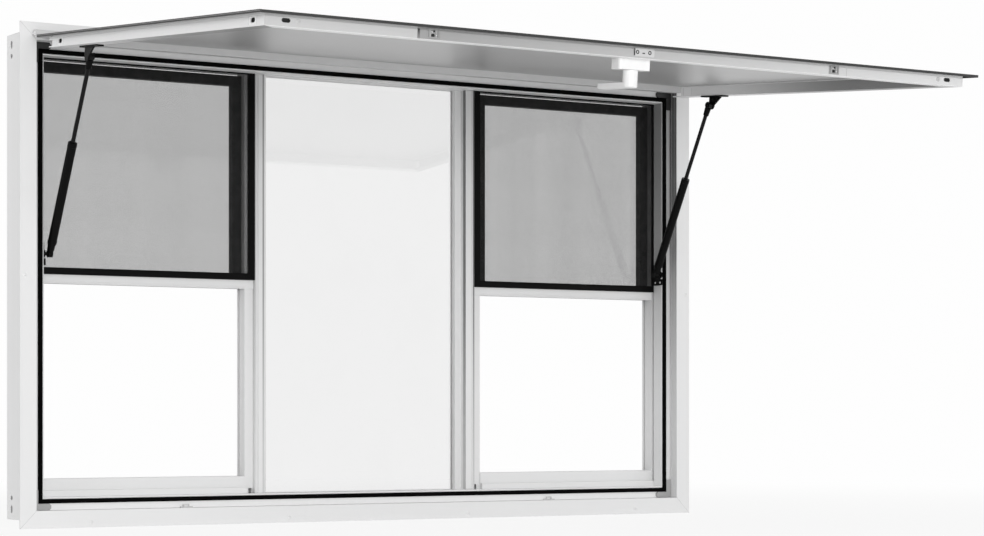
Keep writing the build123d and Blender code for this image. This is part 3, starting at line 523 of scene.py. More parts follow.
@dataclass(frozen=True)
class BlackCoat(Finish):
    """Black anodised or painted metal with fine drawing lines along the bar."""

    level: float = 0.0025
    gloss: float = 0.42
    metal: float = 0.0
    sheen: float = 0.09

    def lay(self, bench: Bench) -> None:
        """Add the nodes of the black coat."""
        place = bench.place()
        grain = bench.noise(bench.stretched(place, (1.0, 1.0, 0.05)), scale=900.0)
        dust = bench.noise(place, scale=34.0, detail=4.0)
        rounded = bench.rounded_normal(0.4 * MM)
        edge = bench.edge(rounded)
        base = bench.blend(grey(self.level), grey(self.level * 1.9), grain)
        base = bench.blend(base, grey(self.level * 2.2 + 0.002), dust.ramp(0.52, 0.78) * 0.5)
        # painted highlight: the black is lighter along the edges
        base = bench.blend(base, grey(self.level * 2.0 + 0.008), edge * 0.45)
        bench.surface(
            Base_Color=base,
            Roughness=self.gloss + 0.12 * (dust - 0.5) + 0.06 * (grain - 0.5),
            Metallic=self.metal,
            Normal=bench.bump(grain, 0.08, 0.0002, rounded),
            Specular_IOR_Level=self.sheen,
        )


@dataclass(frozen=True)
class SealRubber(Finish):
    """Black extruded rubber with a dull skin and light bloom."""

    def lay(self, bench: Bench) -> None:
        """Add the nodes of the rubber."""
        place = bench.place()
        skin = bench.noise(place, scale=800.0)
        bloom = bench.noise(place, scale=18.0, detail=4.0)
        base = bench.blend(grey(0.0008), grey(0.0025), bloom.ramp(0.45, 0.8))
        bench.surface(
            Base_Color=base,
            Roughness=0.62 + 0.2 * (skin - 0.5),
            Normal=bench.bump(skin, 0.2, 0.0002),
            Specular_IOR_Level=0.025,
        )


@dataclass(frozen=True)
class MouldedPlastic(Finish):
    """Moulded plastic with a spark-eroded texture and faint flow marks."""

    level: float = 0.8
    gloss: float = 0.38
    warmth: float = 0.0

    def tint(self, bench: Bench, place: Signal, colour: Signal, edge: Signal) -> Signal:
        """Return the plastic's colour at a place, with a painted highlight on its edges."""
        # painted highlight on the edges
        return bench.blend(colour, grey(min(self.level * 1.08, 0.93), self.warmth), edge * 0.4)

    def lay(self, bench: Bench) -> None:
        """Add the nodes of the plastic."""
        place = bench.place()
        texture = bench.noise(place, scale=1500.0, detail=1.0)
        flow = bench.noise(bench.stretched(place, (1.0, 0.3, 1.0)), scale=26.0, detail=3.0)
        rounded = bench.rounded_normal(0.8 * MM)
        base = bench.blend(grey(self.level * 0.95, self.warmth), grey(self.level, self.warmth), flow)
        bench.surface(
            Base_Color=self.tint(bench, place, base, bench.edge(rounded)),
            Roughness=self.gloss + 0.12 * (texture - 0.5) + 0.08 * (flow - 0.5),
            Normal=bench.bump(texture, 0.12, 0.0002, rounded),
            Specular_IOR_Level=0.5,
        )


@dataclass(frozen=True)
class CornerPlastic(MouldedPlastic):
    """Plastic of the corner keys, with painted shade along their edges and towards the head, under the
    awning.
    """

    shade_mark: Mark = Mark(0.02)
    edge_shade_mark: Mark = Mark(0.02, 0.9)
    climb: Pair = (0.15, 0.70)

    def tint(self, bench: Bench, place: Signal, colour: Signal, edge: Signal) -> Signal:
        """Return the plastic's colour with painted shade along the edges and towards the head."""
        # painted shade, darker towards the head under the awning
        colour = bench.mark(colour, self.shade_mark, bench.axes(place)[2].ramp(*self.climb))
        # painted shade along the edges
        return bench.mark(colour, self.edge_shade_mark, edge)


@dataclass(frozen=True)
class PlatedSteel(Finish):
    """Zinc-plated steel with cloudy crystals and dull patches."""

    level: float = 0.45
    gloss: float = 0.34

    def lay(self, bench: Bench) -> None:
        """Add the nodes of the plated steel."""
        place = bench.place()
        clouds = bench.noise(place, scale=140.0, detail=3.0)
        grain = bench.noise(place, scale=1400.0)
        rounded = bench.rounded_normal(0.3 * MM)
        base = bench.blend(grey(self.level * 0.72, -0.01), grey(self.level * 1.1, 0.01), clouds)
        bench.surface(
            Base_Color=base,
            Metallic=0.85,
            Roughness=self.gloss + 0.18 * (clouds - 0.5),
            Normal=bench.bump(grain, 0.1, 0.0001, rounded),
        )


@dataclass(frozen=True)
class RolledSheet(Finish):
    """Rolled aluminium sheet: a blurred sheen drawn out along the rolling, and painted shadow on its
    margins outside the rails.
    """

    level: float = 0.45
    gloss: float = 0.34
    metal: float = 0.24
    shine: float = 0.22
    margin: float = 735.5 * MM
    margin_shadow_mark: Mark = Mark(0.015)
    inner_face: float = 4.0 * MM

    def lay(self, bench: Bench) -> None:
        """Add the nodes of the sheet."""
        place = bench.place()
        rolling = bench.noise(bench.stretched(place, (0.02, 1.0, 1.0)), scale=700.0)
        clouds = bench.noise(place, scale=5.0, detail=3.0)
        base = bench.blend(grey(self.level * 0.97), grey(self.level * 1.02), clouds)
        base = bench.blend(base, grey(self.level * 0.92), rolling.ramp(0.55, 0.8) * 0.25)
        x, _, depth = closed_spans(bench, place)
        # painted shadow on the underside's margins outside the rails
        shadowed_margin = abs(x).above(self.margin) * depth.above(self.inner_face)
        base = bench.mark(base, self.margin_shadow_mark, shadowed_margin)
        bench.surface(
            Base_Color=base,
            Metallic=self.metal * (1.0 - shadowed_margin),
            Roughness=self.gloss + 0.06 * (rolling - 0.5) + 0.05 * (clouds - 0.5),
            Normal=bench.bump(rolling, 0.06, 0.0001),
            Specular_IOR_Level=self.shine,
        )


@dataclass(frozen=True)
class FloatGlass(Finish):
    """Clear float glass, its body a little grey, with a barely seen film of dust."""

    body: float = 0.87
    index: float = 1.75

    def lay(self, bench: Bench) -> None:
        """Add the nodes of the glass."""
        place = bench.place()
        film = bench.noise(place, scale=7.0, detail=4.0)
        bench.surface(
            Base_Color=bench.blend(grey(self.body), grey(self.body * 0.985), film.ramp(0.4, 0.8)),
            Roughness=0.004 * film,
            Transmission_Weight=1.0,
            IOR=self.index,
        )


@dataclass(frozen=True)
class MeshThread(Finish):
    """Charcoal coated glass-fibre thread, a shade lighter here and there."""

    def lay(self, bench: Bench) -> None:
        """Add the nodes of the thread."""
        place = bench.place()
        tone = bench.noise(place, scale=60.0, detail=3.0)
        coat = bench.noise(place, scale=2500.0, detail=1.0)
        bench.surface(
            Base_Color=bench.blend(grey(0.016), grey(0.034), tone.ramp(0.35, 0.7)),
            Roughness=0.55 + 0.2 * (coat - 0.5),
            Specular_IOR_Level=0.3,
        )


FRAME_PAINT = MitredCoat("frame_paint")
WHITE_PAINT = PowderCoat("white_paint")
RECESS_PAINT = RecessCoat("recess_paint")
BEAD_PAINT = RecessCoat("bead_paint", shade_mark=Mark(0.06, 0.10))
# painted shade: a darker copy of the white paint for the rear rail, hinge rail and lock plate under the
# awning
SHADED_AWNING_PAINT = PowderCoat("shaded_awning_paint", level=0.62, gloss=0.38)
# painted light: a lighter copy of the white paint for the side rails
LIT_SIDE_RAIL_PAINT = SideRailCoat("lit_side_rail_paint", level=0.86, gloss=0.38)
FRONT_RAIL_PAINT = FrontRailCoat("front_rail_paint", level=0.74, gloss=0.42)
TRIM_PAINT = TrimCoat("trim_paint", level=0.02, gloss=0.5)
SCREW_PAINT = PowderCoat("screw_paint", level=0.52, gloss=0.4)
LATCH_PAINT = PowderCoat("latch_paint", level=0.36, gloss=0.4)
PANEL_SHEET = RolledSheet("panel_sheet")
SCREEN_COAT = BlackCoat("screen_coat", level=0.0018, sheen=0.05)
SASH_COAT = BlackCoat("sash_coat", level=0.0025, gloss=0.5, sheen=0.07)
STRUT_COAT = BlackCoat("strut_coat", level=0.0015, gloss=0.32, sheen=0.07)
ROD_COAT = BlackCoat("rod_coat", level=0.002, gloss=0.22, sheen=0.15)
SEAL = SealRubber("seal_rubber")
KEY_PLASTIC = CornerPlastic("key_plastic", level=0.40, gloss=0.5)
SHADE_PLASTIC = MouldedPlastic("shade_plastic", level=0.006, gloss=0.8)
HANDLE_PLASTIC = MouldedPlastic("handle_plastic", level=0.84)
LATCH_STEEL = PlatedSteel("latch_steel", level=0.62)
PANE_GLASS = FloatGlass("pane_glass")
THREAD = MeshThread("mesh_thread")


def in_scene(name: str, data: bpy.types.ID) -> bpy.types.Object:
    """Return a new object with this data, linked to the scene."""
    made = bpy.data.objects.new(name, data)
    bpy.context.scene.collection.objects.link(made)
    return made


def all_geometry(mesh: Mesh) -> List[Any]:
    """Return every vertex, edge and face of a mesh."""
    return [*mesh.verts, *mesh.edges, *mesh.faces]


def moved_in(mesh: Mesh, verts: Iterable[bmesh.types.BMVert], place: Matrix) -> None:
    """Move some vertices of a mesh by a matrix."""
    bmesh.ops.transform(mesh, matrix=place, verts=list(verts))


def turned(
    mesh: Mesh, outline: Sequence[Pair], place: Matrix, steps: int = 32
) -> None:
    """Add a turned solid.

    Args:
        mesh: The mesh that it is added to.
        outline: Radius and height of each point, from one pole to the other.
        place: Where its axis, local Z, stands.
        steps: Facets round the axis.
    """
    verts = [mesh.verts.new((radius, 0.0, height)) for radius, height in outline]
    edges = [mesh.edges.new(pair) for pair in zip(verts, verts[1:])]
    before = set(mesh.verts) - set(verts)
    bmesh.ops.spin(
        mesh,
        geom=[*verts, *edges],
        cent=(0, 0, 0),
        axis=(0, 0, 1),
        dvec=(0, 0, 0),
        angle=math.tau,
        steps=steps,
        use_merge=True,
        use_duplicate=False,
    )
    fresh = [vert for vert in mesh.verts if vert not in before]
    bmesh.ops.remove_doubles(mesh, verts=fresh, dist=1e-7)
    fresh = [vert for vert in mesh.verts if vert not in before]
    moved_in(mesh, fresh, place)


@dataclass(frozen=True)
class Block:
    """A small box: its centre and size, and the radius of its edges, in millimetres."""

    centre: Tuple[float, float, float]
    size: Tuple[float, float, float]
    radius: float = 0.0

    def add(self, mesh: Mesh, origin: Vector) -> None:
        """Add the box to a mesh.

        Args:
            mesh: The mesh that it is added to.
            origin: What its centre is measured from, in metres.
        """
        place = Matrix.Translation(origin + Vector(self.centre) * MM)
        place = place @ Matrix.Diagonal((*(Vector(self.size) * MM), 1.0))
        made = bmesh.ops.create_cube(mesh, size=1.0, matrix=place)["verts"]
        if self.radius > 0:
            edges = list({edge for vert in made for edge in vert.link_edges})
            offset = self.radius * MM
            bmesh.ops.bevel(
                mesh, geom=edges, offset=offset, affect="EDGES", segments=2, profile=0.5, material=-1
            )


def repeated(mesh: Mesh, step: Vector, count: int) -> None:
    """Copy what a mesh holds along a step until there are count of it."""
    unit = all_geometry(mesh)
    for number in range(1, count):
        copy = bmesh.ops.duplicate(mesh, geom=unit)["geom"]
        verts = [item for item in copy if isinstance(item, bmesh.types.BMVert)]
        bmesh.ops.translate(mesh, vec=step * number, verts=verts)


@dataclass
class Piece:
    """A mesh in the making, with its finish, the body that carries it and its material slot."""

    name: str
    body: str
    finish: Finish
    slot: str
    mesh: Mesh = field(default_factory=bmesh.new)

    def fit(self, replaces: Sequence[str] = (), smooth_angle: float = 35.0) -> None:
        """Close the mesh and hang the finished piece on its body.

        Args:
            replaces: CAD nodes that it stands for.
            smooth_angle: Edges flatter than this many degrees are shaded smooth.
        """
        bmesh.ops.remove_doubles(self.mesh, verts=self.mesh.verts, dist=1e-6)
        bmesh.ops.recalc_face_normals(self.mesh, faces=self.mesh.faces)
        data = bpy.data.meshes.new(self.name)
        self.mesh.to_mesh(data)
        self.mesh.free()
        data.shade_smooth()
        data.set_sharp_from_angle(angle=math.radians(smooth_angle))
        data.materials.append(self.finish.material())
        piece = in_scene(self.name, data)
        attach(piece, self.body)
        if replaces:
            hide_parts(*replaces)
        LOG.info("%s: %d faces on %s", self.name, len(data.polygons), self.body)

    def fit_on_awning(self) -> None:
        """Move the mesh from the closed awning to its open place and fit the piece."""
        moved_in(self.mesh, self.mesh.verts, awning_place())
        self.fit()


def dress(nodes: Iterable[str], finish: Finish) -> None:
    """Give CAD nodes a finish.

    Args:
        nodes: The nodes' names.
        finish: What they get.
    """
    for name in nodes:
        slots = frame["nodes"][name].data.materials
        if len(slots):
            slots[0] = finish.material()
        else:
            slots.append(finish.material())
        LOG.info("%s: %s", name, finish.name)


def joint_row(name: str) -> Mapping[str, Any]:
    """Return a joint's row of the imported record."""
    return next(joint for joint in frame["joints"] if joint["name"] == name)


def joint_place(name: str) -> Vector:
    """Return the place of a joint, in metres."""
    return Vector(joint_row(name)["pos_m"])


def joint_axis(name: str) -> Vector:
    """Return the direction of a joint."""
    return Vector(joint_row(name)["axis"]).normalized()


def awning_place() -> Matrix:
    """Return the matrix from the closed awning, with the hinge axis as origin, to its open place."""
    turn = Matrix.Rotation(-math.radians(joint_row("awning_hinge")["range_deg"][1]), 4, "X")
    return Matrix.Translation(joint_place("awning_hinge")) @ turn


def screw_outline(radius: float, height: float) -> List[Pair]:
    """Return the outline of a domed screw head with a hollow in its middle."""
    below = ((0.0, -0.4), (0.96, -0.4), (1.0, 0.0))
    dome = ((0.97, 0.28), (0.86, 0.60), (0.62, 0.86), (0.40, 0.95))
    hollow = ((0.34, 0.45), (0.0, 0.35))
    return [(radius * across, height * up) for across, up in (*below, *dome, *hollow)]


def facing_front(spot: Vector) -> Matrix:
    """Return the matrix of a part at a spot on the closed awning's end, its axis pointing outwards."""
    return Matrix.Translation(spot) @ Matrix.Rotation(math.pi, 4, "X")


@dataclass
class Perimeter:
    """Frame with its flange, gasket, corner keys, strikers and screws."""

    screw_edge: float = 9.5 * MM
    screw_columns: Pair = (0.209, 0.633)
    screw_radius: float = 4.0 * MM
    screw_height: float = 1.8 * MM

    def dress(self) -> None:
        """Give the frame's nodes their finishes."""
        dress(("frame_head", "frame_bottom", "frame_jamb_left", "frame_jamb_right"), FRAME_PAINT)
        dress(("gasket",), SEAL)
        dress(("corner_keys",), KEY_PLASTIC)
        dress(("striker_left", "striker_right"), LATCH_STEEL)
        dress(("strut_foot_left", "strut_foot_right"), STRUT_COAT)

    def screws(self) -> None:
        """Build the painted screws in the flange's holes."""
        piece = Piece("flange_screws", "frame", WHITE_PAINT, "white_aluminium")
        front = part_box("frame_jamb_left")[0].y
        middle = (FLANGE_LOW + FLANGE_HIGH) / 2
        places = [(side * (HALF_WIDTH - self.screw_edge), middle) for side in (-1, 1)]
        for level in (FLANGE_LOW + self.screw_edge, FLANGE_HIGH - self.screw_edge):
            places += [(side * column, level) for column in self.screw_columns for side in (-1, 1)]
        for x, z in places:
            place = Matrix.Translation((x, front, z)) @ Matrix.Rotation(math.radians(90), 4, "X")
            turned(piece.mesh, screw_outline(self.screw_radius, self.screw_height), place, 20)
        piece.fit()

    def build(self) -> None:
        """Dress the frame and add its screws."""
        self.dress()
        self.screws()


@dataclass
class Lights:
    """The mullions, tracks, transoms, sills, sashes and the fixed centre glass."""

    def build(self) -> None:
        """Give the glazed parts their finishes."""
        for side in Side:
            name = side.value
            bars = ("mullion", "side_track", "transom", "sill_track")
            dress([f"{bar}_{name}" for bar in bars], RECESS_PAINT)
            dress((f"sash_{name}_frame",), SASH_COAT)
            dress((f"sash_{name}_glass",), PANE_GLASS)
        dress(("centre_bead",), BEAD_PAINT)
        dress(("centre_glass",), PANE_GLASS)


@dataclass
class InsectScreen:
    """One insect screen: its black frame and the woven mesh that stands for its sheet."""

    side: Side
    pitch: float = 1.3 * MM
    thread: float = 0.335 * MM
    facets: int = 6
    crimp: float = 0.3

    def threads(self, low: Vector, high: Vector, upright: bool) -> Mesh:
        """Make the threads of one direction.

        Args:
            low: Lowest corner of the sheet.
            high: Highest corner of the sheet.
            upright: True for the upright threads.

        Returns:
            A mesh of all the threads of that direction.
        """
        mesh = bmesh.new()
        length = high.z - low.z if upright else high.x - low.x
        across = high.x - low.x if upright else high.z - low.z
        count = int(across / self.pitch)
        start = (across - (count - 1) * self.pitch) / 2
        middle = (low.y + high.y) / 2 + self.thread * (self.crimp if upright else -self.crimp)
        if upright:
            place = Matrix.Translation((low.x + start, middle, (low.z + high.z) / 2))
            step = Vector((self.pitch, 0, 0))
        else:
            turn = Matrix.Rotation(math.radians(90), 4, "Y")
            place = Matrix.Translation(((low.x + high.x) / 2, middle, low.z + start)) @ turn
            step = Vector((0, 0, self.pitch))
        radii = {"radius1": self.thread / 2, "radius2": self.thread / 2}
        bmesh.ops.create_cone(
            mesh, cap_ends=True, segments=self.facets, depth=length, matrix=place, **radii
        )
        repeated(mesh, step, count)
        return mesh

    def weave(self) -> None:
        """Build the woven mesh in the place of the sheet."""
        name = self.side.value
        low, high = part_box(f"screen_{name}_mesh")
        upright = self.threads(low, high, True)
        piece = Piece(f"screen_{name}_weave", "frame", THREAD, "screen_mesh", upright)
        other = self.threads(low, high, False)
        data = bpy.data.meshes.new("threads")
        other.to_mesh(data)
        other.free()
        piece.mesh.from_mesh(data)
        bpy.data.meshes.remove(data)
        piece.fit(replaces=(f"screen_{name}_mesh",), smooth_angle=70.0)

    def build(self) -> None:
        """Dress the screen's frame and weave its mesh."""
        dress((f"screen_{self.side.value}_frame",), SCREEN_COAT)
        self.weave()


@dataclass
class Awning:
    """The raised awning: skin, trim, rails, latches and lock."""

    rail_top: float = 5.0 * MM
    rail_depth: float = 21.0 * MM
    rail_wall: float = 2.0 * MM
    front_drop: float = 879.0 * MM
    rail_side: float = 735.0 * MM
    front_slot: float = 696.5 * MM
    slot_shade_gap: float = 1.9 * MM
    side_slot_shade: Block = Block((0.0, 0.0, 0.0), (0.8, 12.0, 22.0))
    front_slot_shade: Block = Block((0.0, 0.0, 0.0), (22.0, 12.0, 0.8))
    screw_column: float = 674.0 * MM
    screw_size: Pair = (4.6 * MM, 0.9 * MM)
    latch_column: float = 424.0 * MM
    latch_floor: Block = Block((0.0, 0.0, 2.1), (18.8, 10.8, 1.0))
    latch_hook: Block = Block((-0.05, 2.6, 1.35), (5.9, 4.8, 2.1), 0.8)
    spring_end: Block = Block((2.2, -3.7, 1.45), (2.8, 2.6, 1.9), 0.4)
    rivet_spots: Profile = ((-2.2, -2.8), (6.2, 2.6))
    rivet_sink: float = 0.2 * MM
    rivet_size: Pair = (1.5 * MM, 0.8 * MM)
    plate_thick: float = 1.5 * MM
    key_radii: Pair = (1.87 * MM, 3.4 * MM)
    key_heights: Pair = (-0.3 * MM, 0.35 * MM)
    key_columns: Pair = (-14.0 * MM, 12.0 * MM)
    lock_slot: Block = Block((-0.9, 1.5, 0.0), (5.0, 1.8, 0.6))
    lock_shadow_gap: Block = Block((-20.2, 0.0, 0.0), (2.4, 12.0, 0.6))

    @property
    def middle(self) -> float:
        """Return the depth of the middle of the rails."""
        return self.rail_top + self.rail_depth / 2

    def dress(self) -> None:
        """Give the awning's nodes their finishes."""
        dress(("awning_skin",), PANEL_SHEET)
        dress(("awning_edge_trim",), TRIM_PAINT)
        dress(("awning_rail_left", "awning_rail_right"), LIT_SIDE_RAIL_PAINT)
        dress(("awning_rail_front",), FRONT_RAIL_PAINT)
        dress(("awning_rail_rear", "awning_hinge_rail", "lock_plate"), SHADED_AWNING_PAINT)
        dress(("latch_left", "latch_right"), LATCH_PAINT)

    def front_screws(self) -> None:
        """Build the two flush screws in the face of the front rail."""
        piece = Piece("front_rail_screws", "awning", SCREW_PAINT, "white_aluminium")
        for side in (-1, 1):
            spot = Vector((side * self.screw_column, self.middle, -self.front_drop))
            turned(piece.mesh, screw_outline(*self.screw_size), awning_place() @ facing_front(spot), 24)
        piece.fit()

    def slot_shades(self) -> None:
        """Build dark sheets inside the rails, behind their slots, that stand for the shade in the
        hollow rails.
        """
        piece = Piece("slot_shades", "awning", SHADE_PLASTIC, "grey_plastic")
        # painted shade: dark sheets where the hollow rails are in shade
        for side in (-1, 1):
            wall = side * (self.rail_side - self.rail_wall - self.slot_shade_gap)
            for drop in SIDE_SLOT_DROPS:
                self.side_slot_shade.add(piece.mesh, Vector((wall, SIDE_SLOT_DEPTH, -drop)))
            floor = -self.front_drop + self.rail_wall + self.slot_shade_gap
            self.front_slot_shade.add(piece.mesh, Vector((side * self.front_slot, self.middle, floor)))
        piece.fit_on_awning()

    def latch_hooks(self) -> None:
        """Build the floor, the hook, the spring's end and the two plated rivets of each latch."""
        floors = Piece("latch_floors", "awning", LATCH_PAINT, "latch_steel")
        hooks = Piece("latch_hooks", "awning", SHADE_PLASTIC, "grey_plastic")
        rivets = Piece("latch_rivets", "awning", LATCH_STEEL, "latch_steel")
        for side in (-1, 1):
            centre = Vector((side * self.latch_column, self.middle, -self.front_drop))
            self.latch_floor.add(floors.mesh, centre)
            self.latch_hook.add(hooks.mesh, centre)
            self.spring_end.add(hooks.mesh, centre)
            for along, across in self.rivet_spots:
                spot = centre + Vector((along * MM, across * MM, self.rivet_sink))
                turned(rivets.mesh, screw_outline(*self.rivet_size), facing_front(spot), 16)
        for piece in (floors, hooks, rivets):
            piece.fit_on_awning()

    def lock_details(self) -> None:
        """Build the two key covers, the slot between them, and a thin dark box that stands for the
        shadow gap at the lock plate's left end.
        """
        piece = Piece("lock_plate_details", "awning", SHADE_PLASTIC, "grey_plastic")
        centre = Vector((0.0, self.middle, -self.front_drop - self.plate_thick))
        hole, rim = self.key_radii
        sunk, proud = self.key_heights
        for column in self.key_columns:
            outline = [(hole, sunk), (hole, proud), (rim, proud), (rim, sunk)]
            turned(piece.mesh, outline, facing_front(centre + Vector((column, 0.0, 0.0))), 24)
        self.lock_slot.add(piece.mesh, centre)
        # painted shadow: a thin dark box in the gap at the plate's left end
        self.lock_shadow_gap.add(piece.mesh, centre)
        piece.fit_on_awning()

    def build(self) -> None:
        """Dress the awning and add its small hardware, and the dark pieces of painted shade behind its
        slots and at its lock plate.
        """
        self.dress()
        self.front_screws()
        self.slot_shades()
        self.latch_hooks()
        self.lock_details()


@dataclass
class Handle:
    """The turning handle behind the front rail."""

    def build(self) -> None:
        """Dress the handle."""
        dress(("handle_housing", "handle_stem", "handle_lever"), HANDLE_PLASTIC)


@dataclass
class GasStrut:
    """One gas strut with its bracket, its sockets and rings, and the screwed pad of its foot."""

    side: Side
    cylinder_radius: float = 8.5 * MM
    cylinder_length: float = 206.0 * MM
    end_length: float = 20.0 * MM
    eye_radius: float = 7.0 * MM
    ring_length: float = 6.0 * MM
    ring_bevel: float = 0.6 * MM
    ring_proud: float = 0.4 * MM
    collar_drop: float = 9.0 * MM
    ferrule_rise: float = 2.0 * MM
    socket: Profile = ((4.0, -24.0), (5.6, -23.0), (6.6, -8.0), (6.2, -6.0), (4.0, -5.6))
    boot: Profile = ((4.0, -14.4), (6.2, -14.0), (6.8, -11.0), (7.4, -0.6), (4.0, 0.0))
    pad_thick: float = 2.3 * MM
    pads: Tuple[Block, Block] = (
        Block((0.0, 22.75, 6.65), (2.3, 14.5, 12.7), 0.6),
        Block((0.0, 48.0, 17.75), (2.3, 12.0, 32.5), 0.6),
    )
    plate_thick: float = 2.5 * MM
    screw_depths: Pair = (22.0 * MM, 39.0 * MM)
    screw_rise: float = 6.0 * MM
    screw_size: Pair = (2.2 * MM, 0.9 * MM)

    def place(self) -> Matrix:
        """Return the matrix that takes a strut along Z, its upper pivot at 0, to its place."""
        axis = joint_axis(f"strut_{self.side.value}_slide")
        turn = Vector((0, 0, 1)).rotation_difference(axis).to_matrix().to_4x4()
        return Matrix.Translation(joint_place(f"strut_{self.side.value}_slide")) @ turn

    def length(self) -> float:
        """Return the distance from the upper pivot to the cylinder's lower end."""
        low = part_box(f"strut_cylinder_{self.side.value}")[0]
        start = joint_place(f"strut_{self.side.value}_slide")
        axis = joint_axis(f"strut_{self.side.value}_slide")
        return (start.z - low.z - self.eye_radius) / axis.z - self.end_length

    def sleeve(self, name: str, part: str, outline: Sequence[Pair]) -> None:
        """Add a black turned piece on the strut's axis.

        Args:
            name: The piece's name, without the side.
            part: The part that carries it, rod or cylinder.
            outline: Radius and height above the upper pivot of each point.
        """
        side = self.side.value
        piece = Piece(f"{name}_{side}", f"strut_{part}_{side}_body", STRUT_COAT, "strut_black")
        turned(piece.mesh, outline, self.place(), 32)
        piece.fit()

    def ring(self, name: str, start: float) -> None:
        """Build a ring round the cylinder, from a height above the upper pivot."""
        end = start + self.ring_length
        inner = self.cylinder_radius - self.ring_bevel
        outer = self.cylinder_radius + self.ring_proud
        low, high = start + self.ring_bevel, end - self.ring_bevel
        self.sleeve(name, "cylinder", [(inner, start), (outer, low), (outer, high), (inner, end)])

    def fittings(self) -> None:
        """Build the cylinder's collar and ferrule, and the sockets at both ends of the strut."""
        bottom = -self.length()
        self.ring("strut_collar", bottom + self.cylinder_length - self.collar_drop)
        self.ring("strut_ferrule", bottom + self.ferrule_rise)
        socket = [(radius * MM, up * MM) for radius, up in self.socket]
        self.sleeve("strut_socket", "rod", socket)
        boot = [(radius * MM, bottom + up * MM) for radius, up in self.boot]
        self.sleeve("strut_boot", "cylinder", boot)

    def foot(self) -> None:
        """Build the pad behind the foot's plate and the two screws that hold the plate."""
        low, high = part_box(f"strut_foot_{self.side.value}")
        sign = self.side.sign
        far = max(abs(low.x), abs(high.x))
        pad = Piece(f"strut_foot_pad_{self.side.value}", "frame", STRUT_COAT, "strut_black")
        for block in self.pads:
            block.add(pad.mesh, Vector((sign * (far - self.pad_thick / 2), 0.0, low.z)))
        pad.fit()
        screws = Piece(f"strut_foot_screws_{self.side.value}", "frame", SCREW_PAINT, "white_aluminium")
        turn = Matrix.Rotation(-sign * math.radians(90), 4, "Y")
        for depth in self.screw_depths:
            spot = Vector((sign * (far - self.plate_thick), depth, low.z + self.screw_rise))
            turned(screws.mesh, screw_outline(*self.screw_size), Matrix.Translation(spot) @ turn, 18)
        screws.fit()

    def build(self) -> None:
        """Dress the strut and add its fittings."""
        name = self.side.value
        dress((f"strut_bracket_{name}", f"strut_cylinder_{name}"), STRUT_COAT)
        dress((f"strut_rod_{name}",), ROD_COAT)
        self.fittings()
        self.foot()


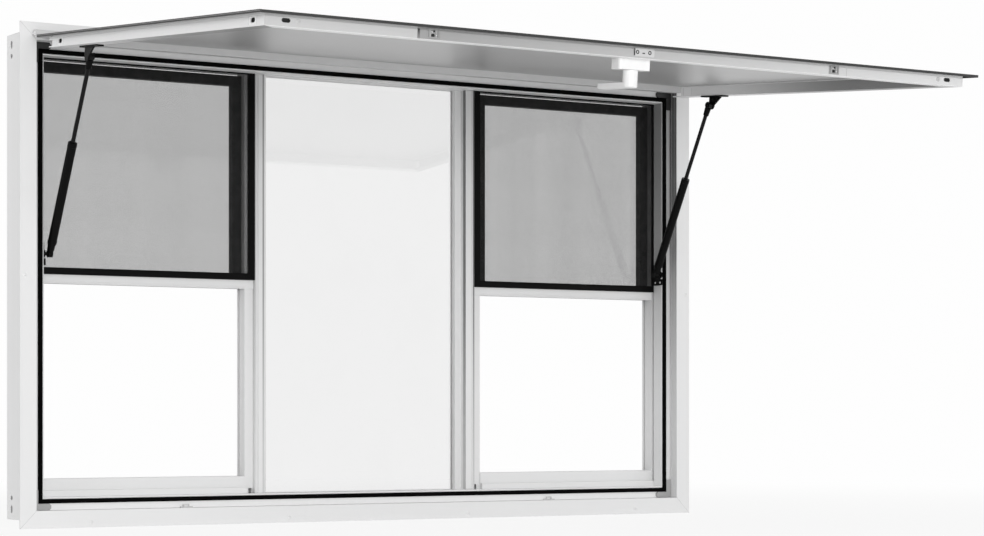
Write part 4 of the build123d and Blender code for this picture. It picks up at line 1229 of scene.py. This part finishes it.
@dataclass
class Studio:
    """Pale floor, white surroundings, soft lamps and the camera of the photograph."""

    focal_pixels: float = 2551.44
    middle_column: float = 400.0
    horizon_row: float = 414.03
    turn_degrees: float = 30.976
    stand: Tuple[float, float, float] = (-2.6101, -4.4270, 0.2062)
    image_size: Tuple[int, int] = (984, 536)
    ambient: float = 0.56
    floor_light: float = 0.30
    floor_size: float = 14.0
    floor_gap: float = 0.1 * MM
    floor_fade: Pair = (0.9, 3.2)
    backdrop: float = 0.99

    def seen(self, bench: Bench) -> Signal:
        """Return 1 for rays that show the background directly, in metal or through glass."""
        camera = bench.node("ShaderNodeLightPath", output="Is Camera Ray")
        outputs = camera.socket.node.outputs
        glossy = Signal(bench, outputs["Is Glossy Ray"])
        through = Signal(bench, outputs["Is Transmission Ray"])
        return camera.higher_of(glossy).higher_of(through)

    def world(self) -> None:
        """Make the white surroundings."""
        world = bpy.data.worlds.new("studio")
        bpy.context.scene.world = world
        bench = Bench(world)
        dim, white = (
            bench.node("ShaderNodeBackground", inputs={"Color": grey(1.0), "Strength": strength})
            for strength in (self.ambient, self.backdrop)
        )
        mixed = bench.node("ShaderNodeMixShader", inputs={0: self.seen(bench), 1: dim, 2: white})
        bench.node_output(mixed, "ShaderNodeOutputWorld")

    def floor(self) -> None:
        """Make the plain pale floor, which keeps the object's shadow."""
        mesh = bmesh.new()
        bmesh.ops.create_grid(mesh, x_segments=4, y_segments=4, size=self.floor_size)
        level = CAD_BOX[0].z - self.floor_gap
        bmesh.ops.translate(mesh, vec=(0, 0, level), verts=mesh.verts)
        data = bpy.data.meshes.new("floor")
        mesh.to_mesh(data)
        mesh.free()
        material = bpy.data.materials.new("floor_white")
        bench = Bench(material)
        soft = bench.noise(bench.place(), scale=1.5, detail=3.0)
        paint = bench.node(
            "ShaderNodeBsdfPrincipled",
            inputs={"Base Color": bench.blend(grey(0.80), grey(0.83), soft), "Roughness": 0.8},
        )
        glow = bench.node("ShaderNodeEmission", inputs={"Color": grey(1.0), "Strength": self.backdrop})
        x, y, _ = bench.axes(bench.place())
        far = ((x * x + y * y) ** 0.5).ramp(*self.floor_fade)
        seen = self.seen(bench)
        share = seen * (0.88 + 0.12 * far) + (1.0 - seen) * self.floor_light
        mixed = bench.node("ShaderNodeMixShader", inputs={0: share, 1: paint, 2: glow})
        bench.node_output(mixed, "ShaderNodeOutputMaterial")
        data.materials.append(material)
        in_scene("floor", data)

    def lamp(
        self, name: str, spot: Sequence[float], target: Sequence[float], size: Pair, power: float
    ) -> None:
        """Add a soft lamp.

        Args:
            name: Its name.
            spot: Where it hangs.
            target: What it faces.
            size: Its width and height.
            power: Its power in watts.
        """
        data = bpy.data.lights.new(name, "AREA")
        data.shape = "RECTANGLE"
        data.size, data.size_y = size
        data.energy = power
        lamp = in_scene(name, data)
        lamp.location = Vector(spot)
        lamp.rotation_euler = (Vector(target) - Vector(spot)).to_track_quat("-Z", "Y").to_euler()

    def lamps(self) -> None:
        """Hang the lamps."""
        self.lamp("front_lamp", (-1.4, -5.4, 0.75), (0.0, 0.0, 0.45), (3.6, 1.3), 125.0)
        self.lamp("left_lamp", (-4.5, -0.6, 1.3), (0.0, -0.3, 0.5), (2.5, 2.0), 34.0)
        self.lamp("right_lamp", (3.6, -2.2, 0.55), (0.8, 0.0, 0.7), (1.5, 0.9), 9.0)

    def camera(self) -> None:
        """Place the camera where the photograph was taken from."""
        width, height = self.image_size
        data = bpy.data.cameras.new("photo_camera")
        data.sensor_width = 36.0
        data.lens = data.sensor_width * self.focal_pixels / width
        data.shift_x = (width / 2 - self.middle_column) / width
        data.shift_y = (self.horizon_row - height / 2) / width
        data.clip_start = 0.05
        data.clip_end = 60.0
        data.dof.use_dof = False
        camera = in_scene("photo_camera", data)
        camera.location = Vector(self.stand)
        camera.rotation_euler = (math.radians(90), 0.0, -math.radians(self.turn_degrees))
        bpy.context.scene.camera = camera

    def build(self) -> None:
        """Set up the studio."""
        bpy.context.scene.view_settings.view_transform = "Standard"
        self.world()
        self.floor()
        self.lamps()
        self.camera()
        LOG.info("studio ready")


def main() -> None:
    """Build the studio and every sub-assembly in order."""
    logging.basicConfig(level=logging.INFO, format="%(name)s %(message)s")
    assemblies = [
        Studio(),
        Perimeter(),
        Lights(),
        *[InsectScreen(side) for side in Side],
        Awning(),
        Handle(),
        *[GasStrut(side) for side in Side],
    ]
    for assembly in assemblies:
        assembly.build()
        LOG.info("built %s", type(assembly).__name__)


if __name__ == "__main__":
    main()
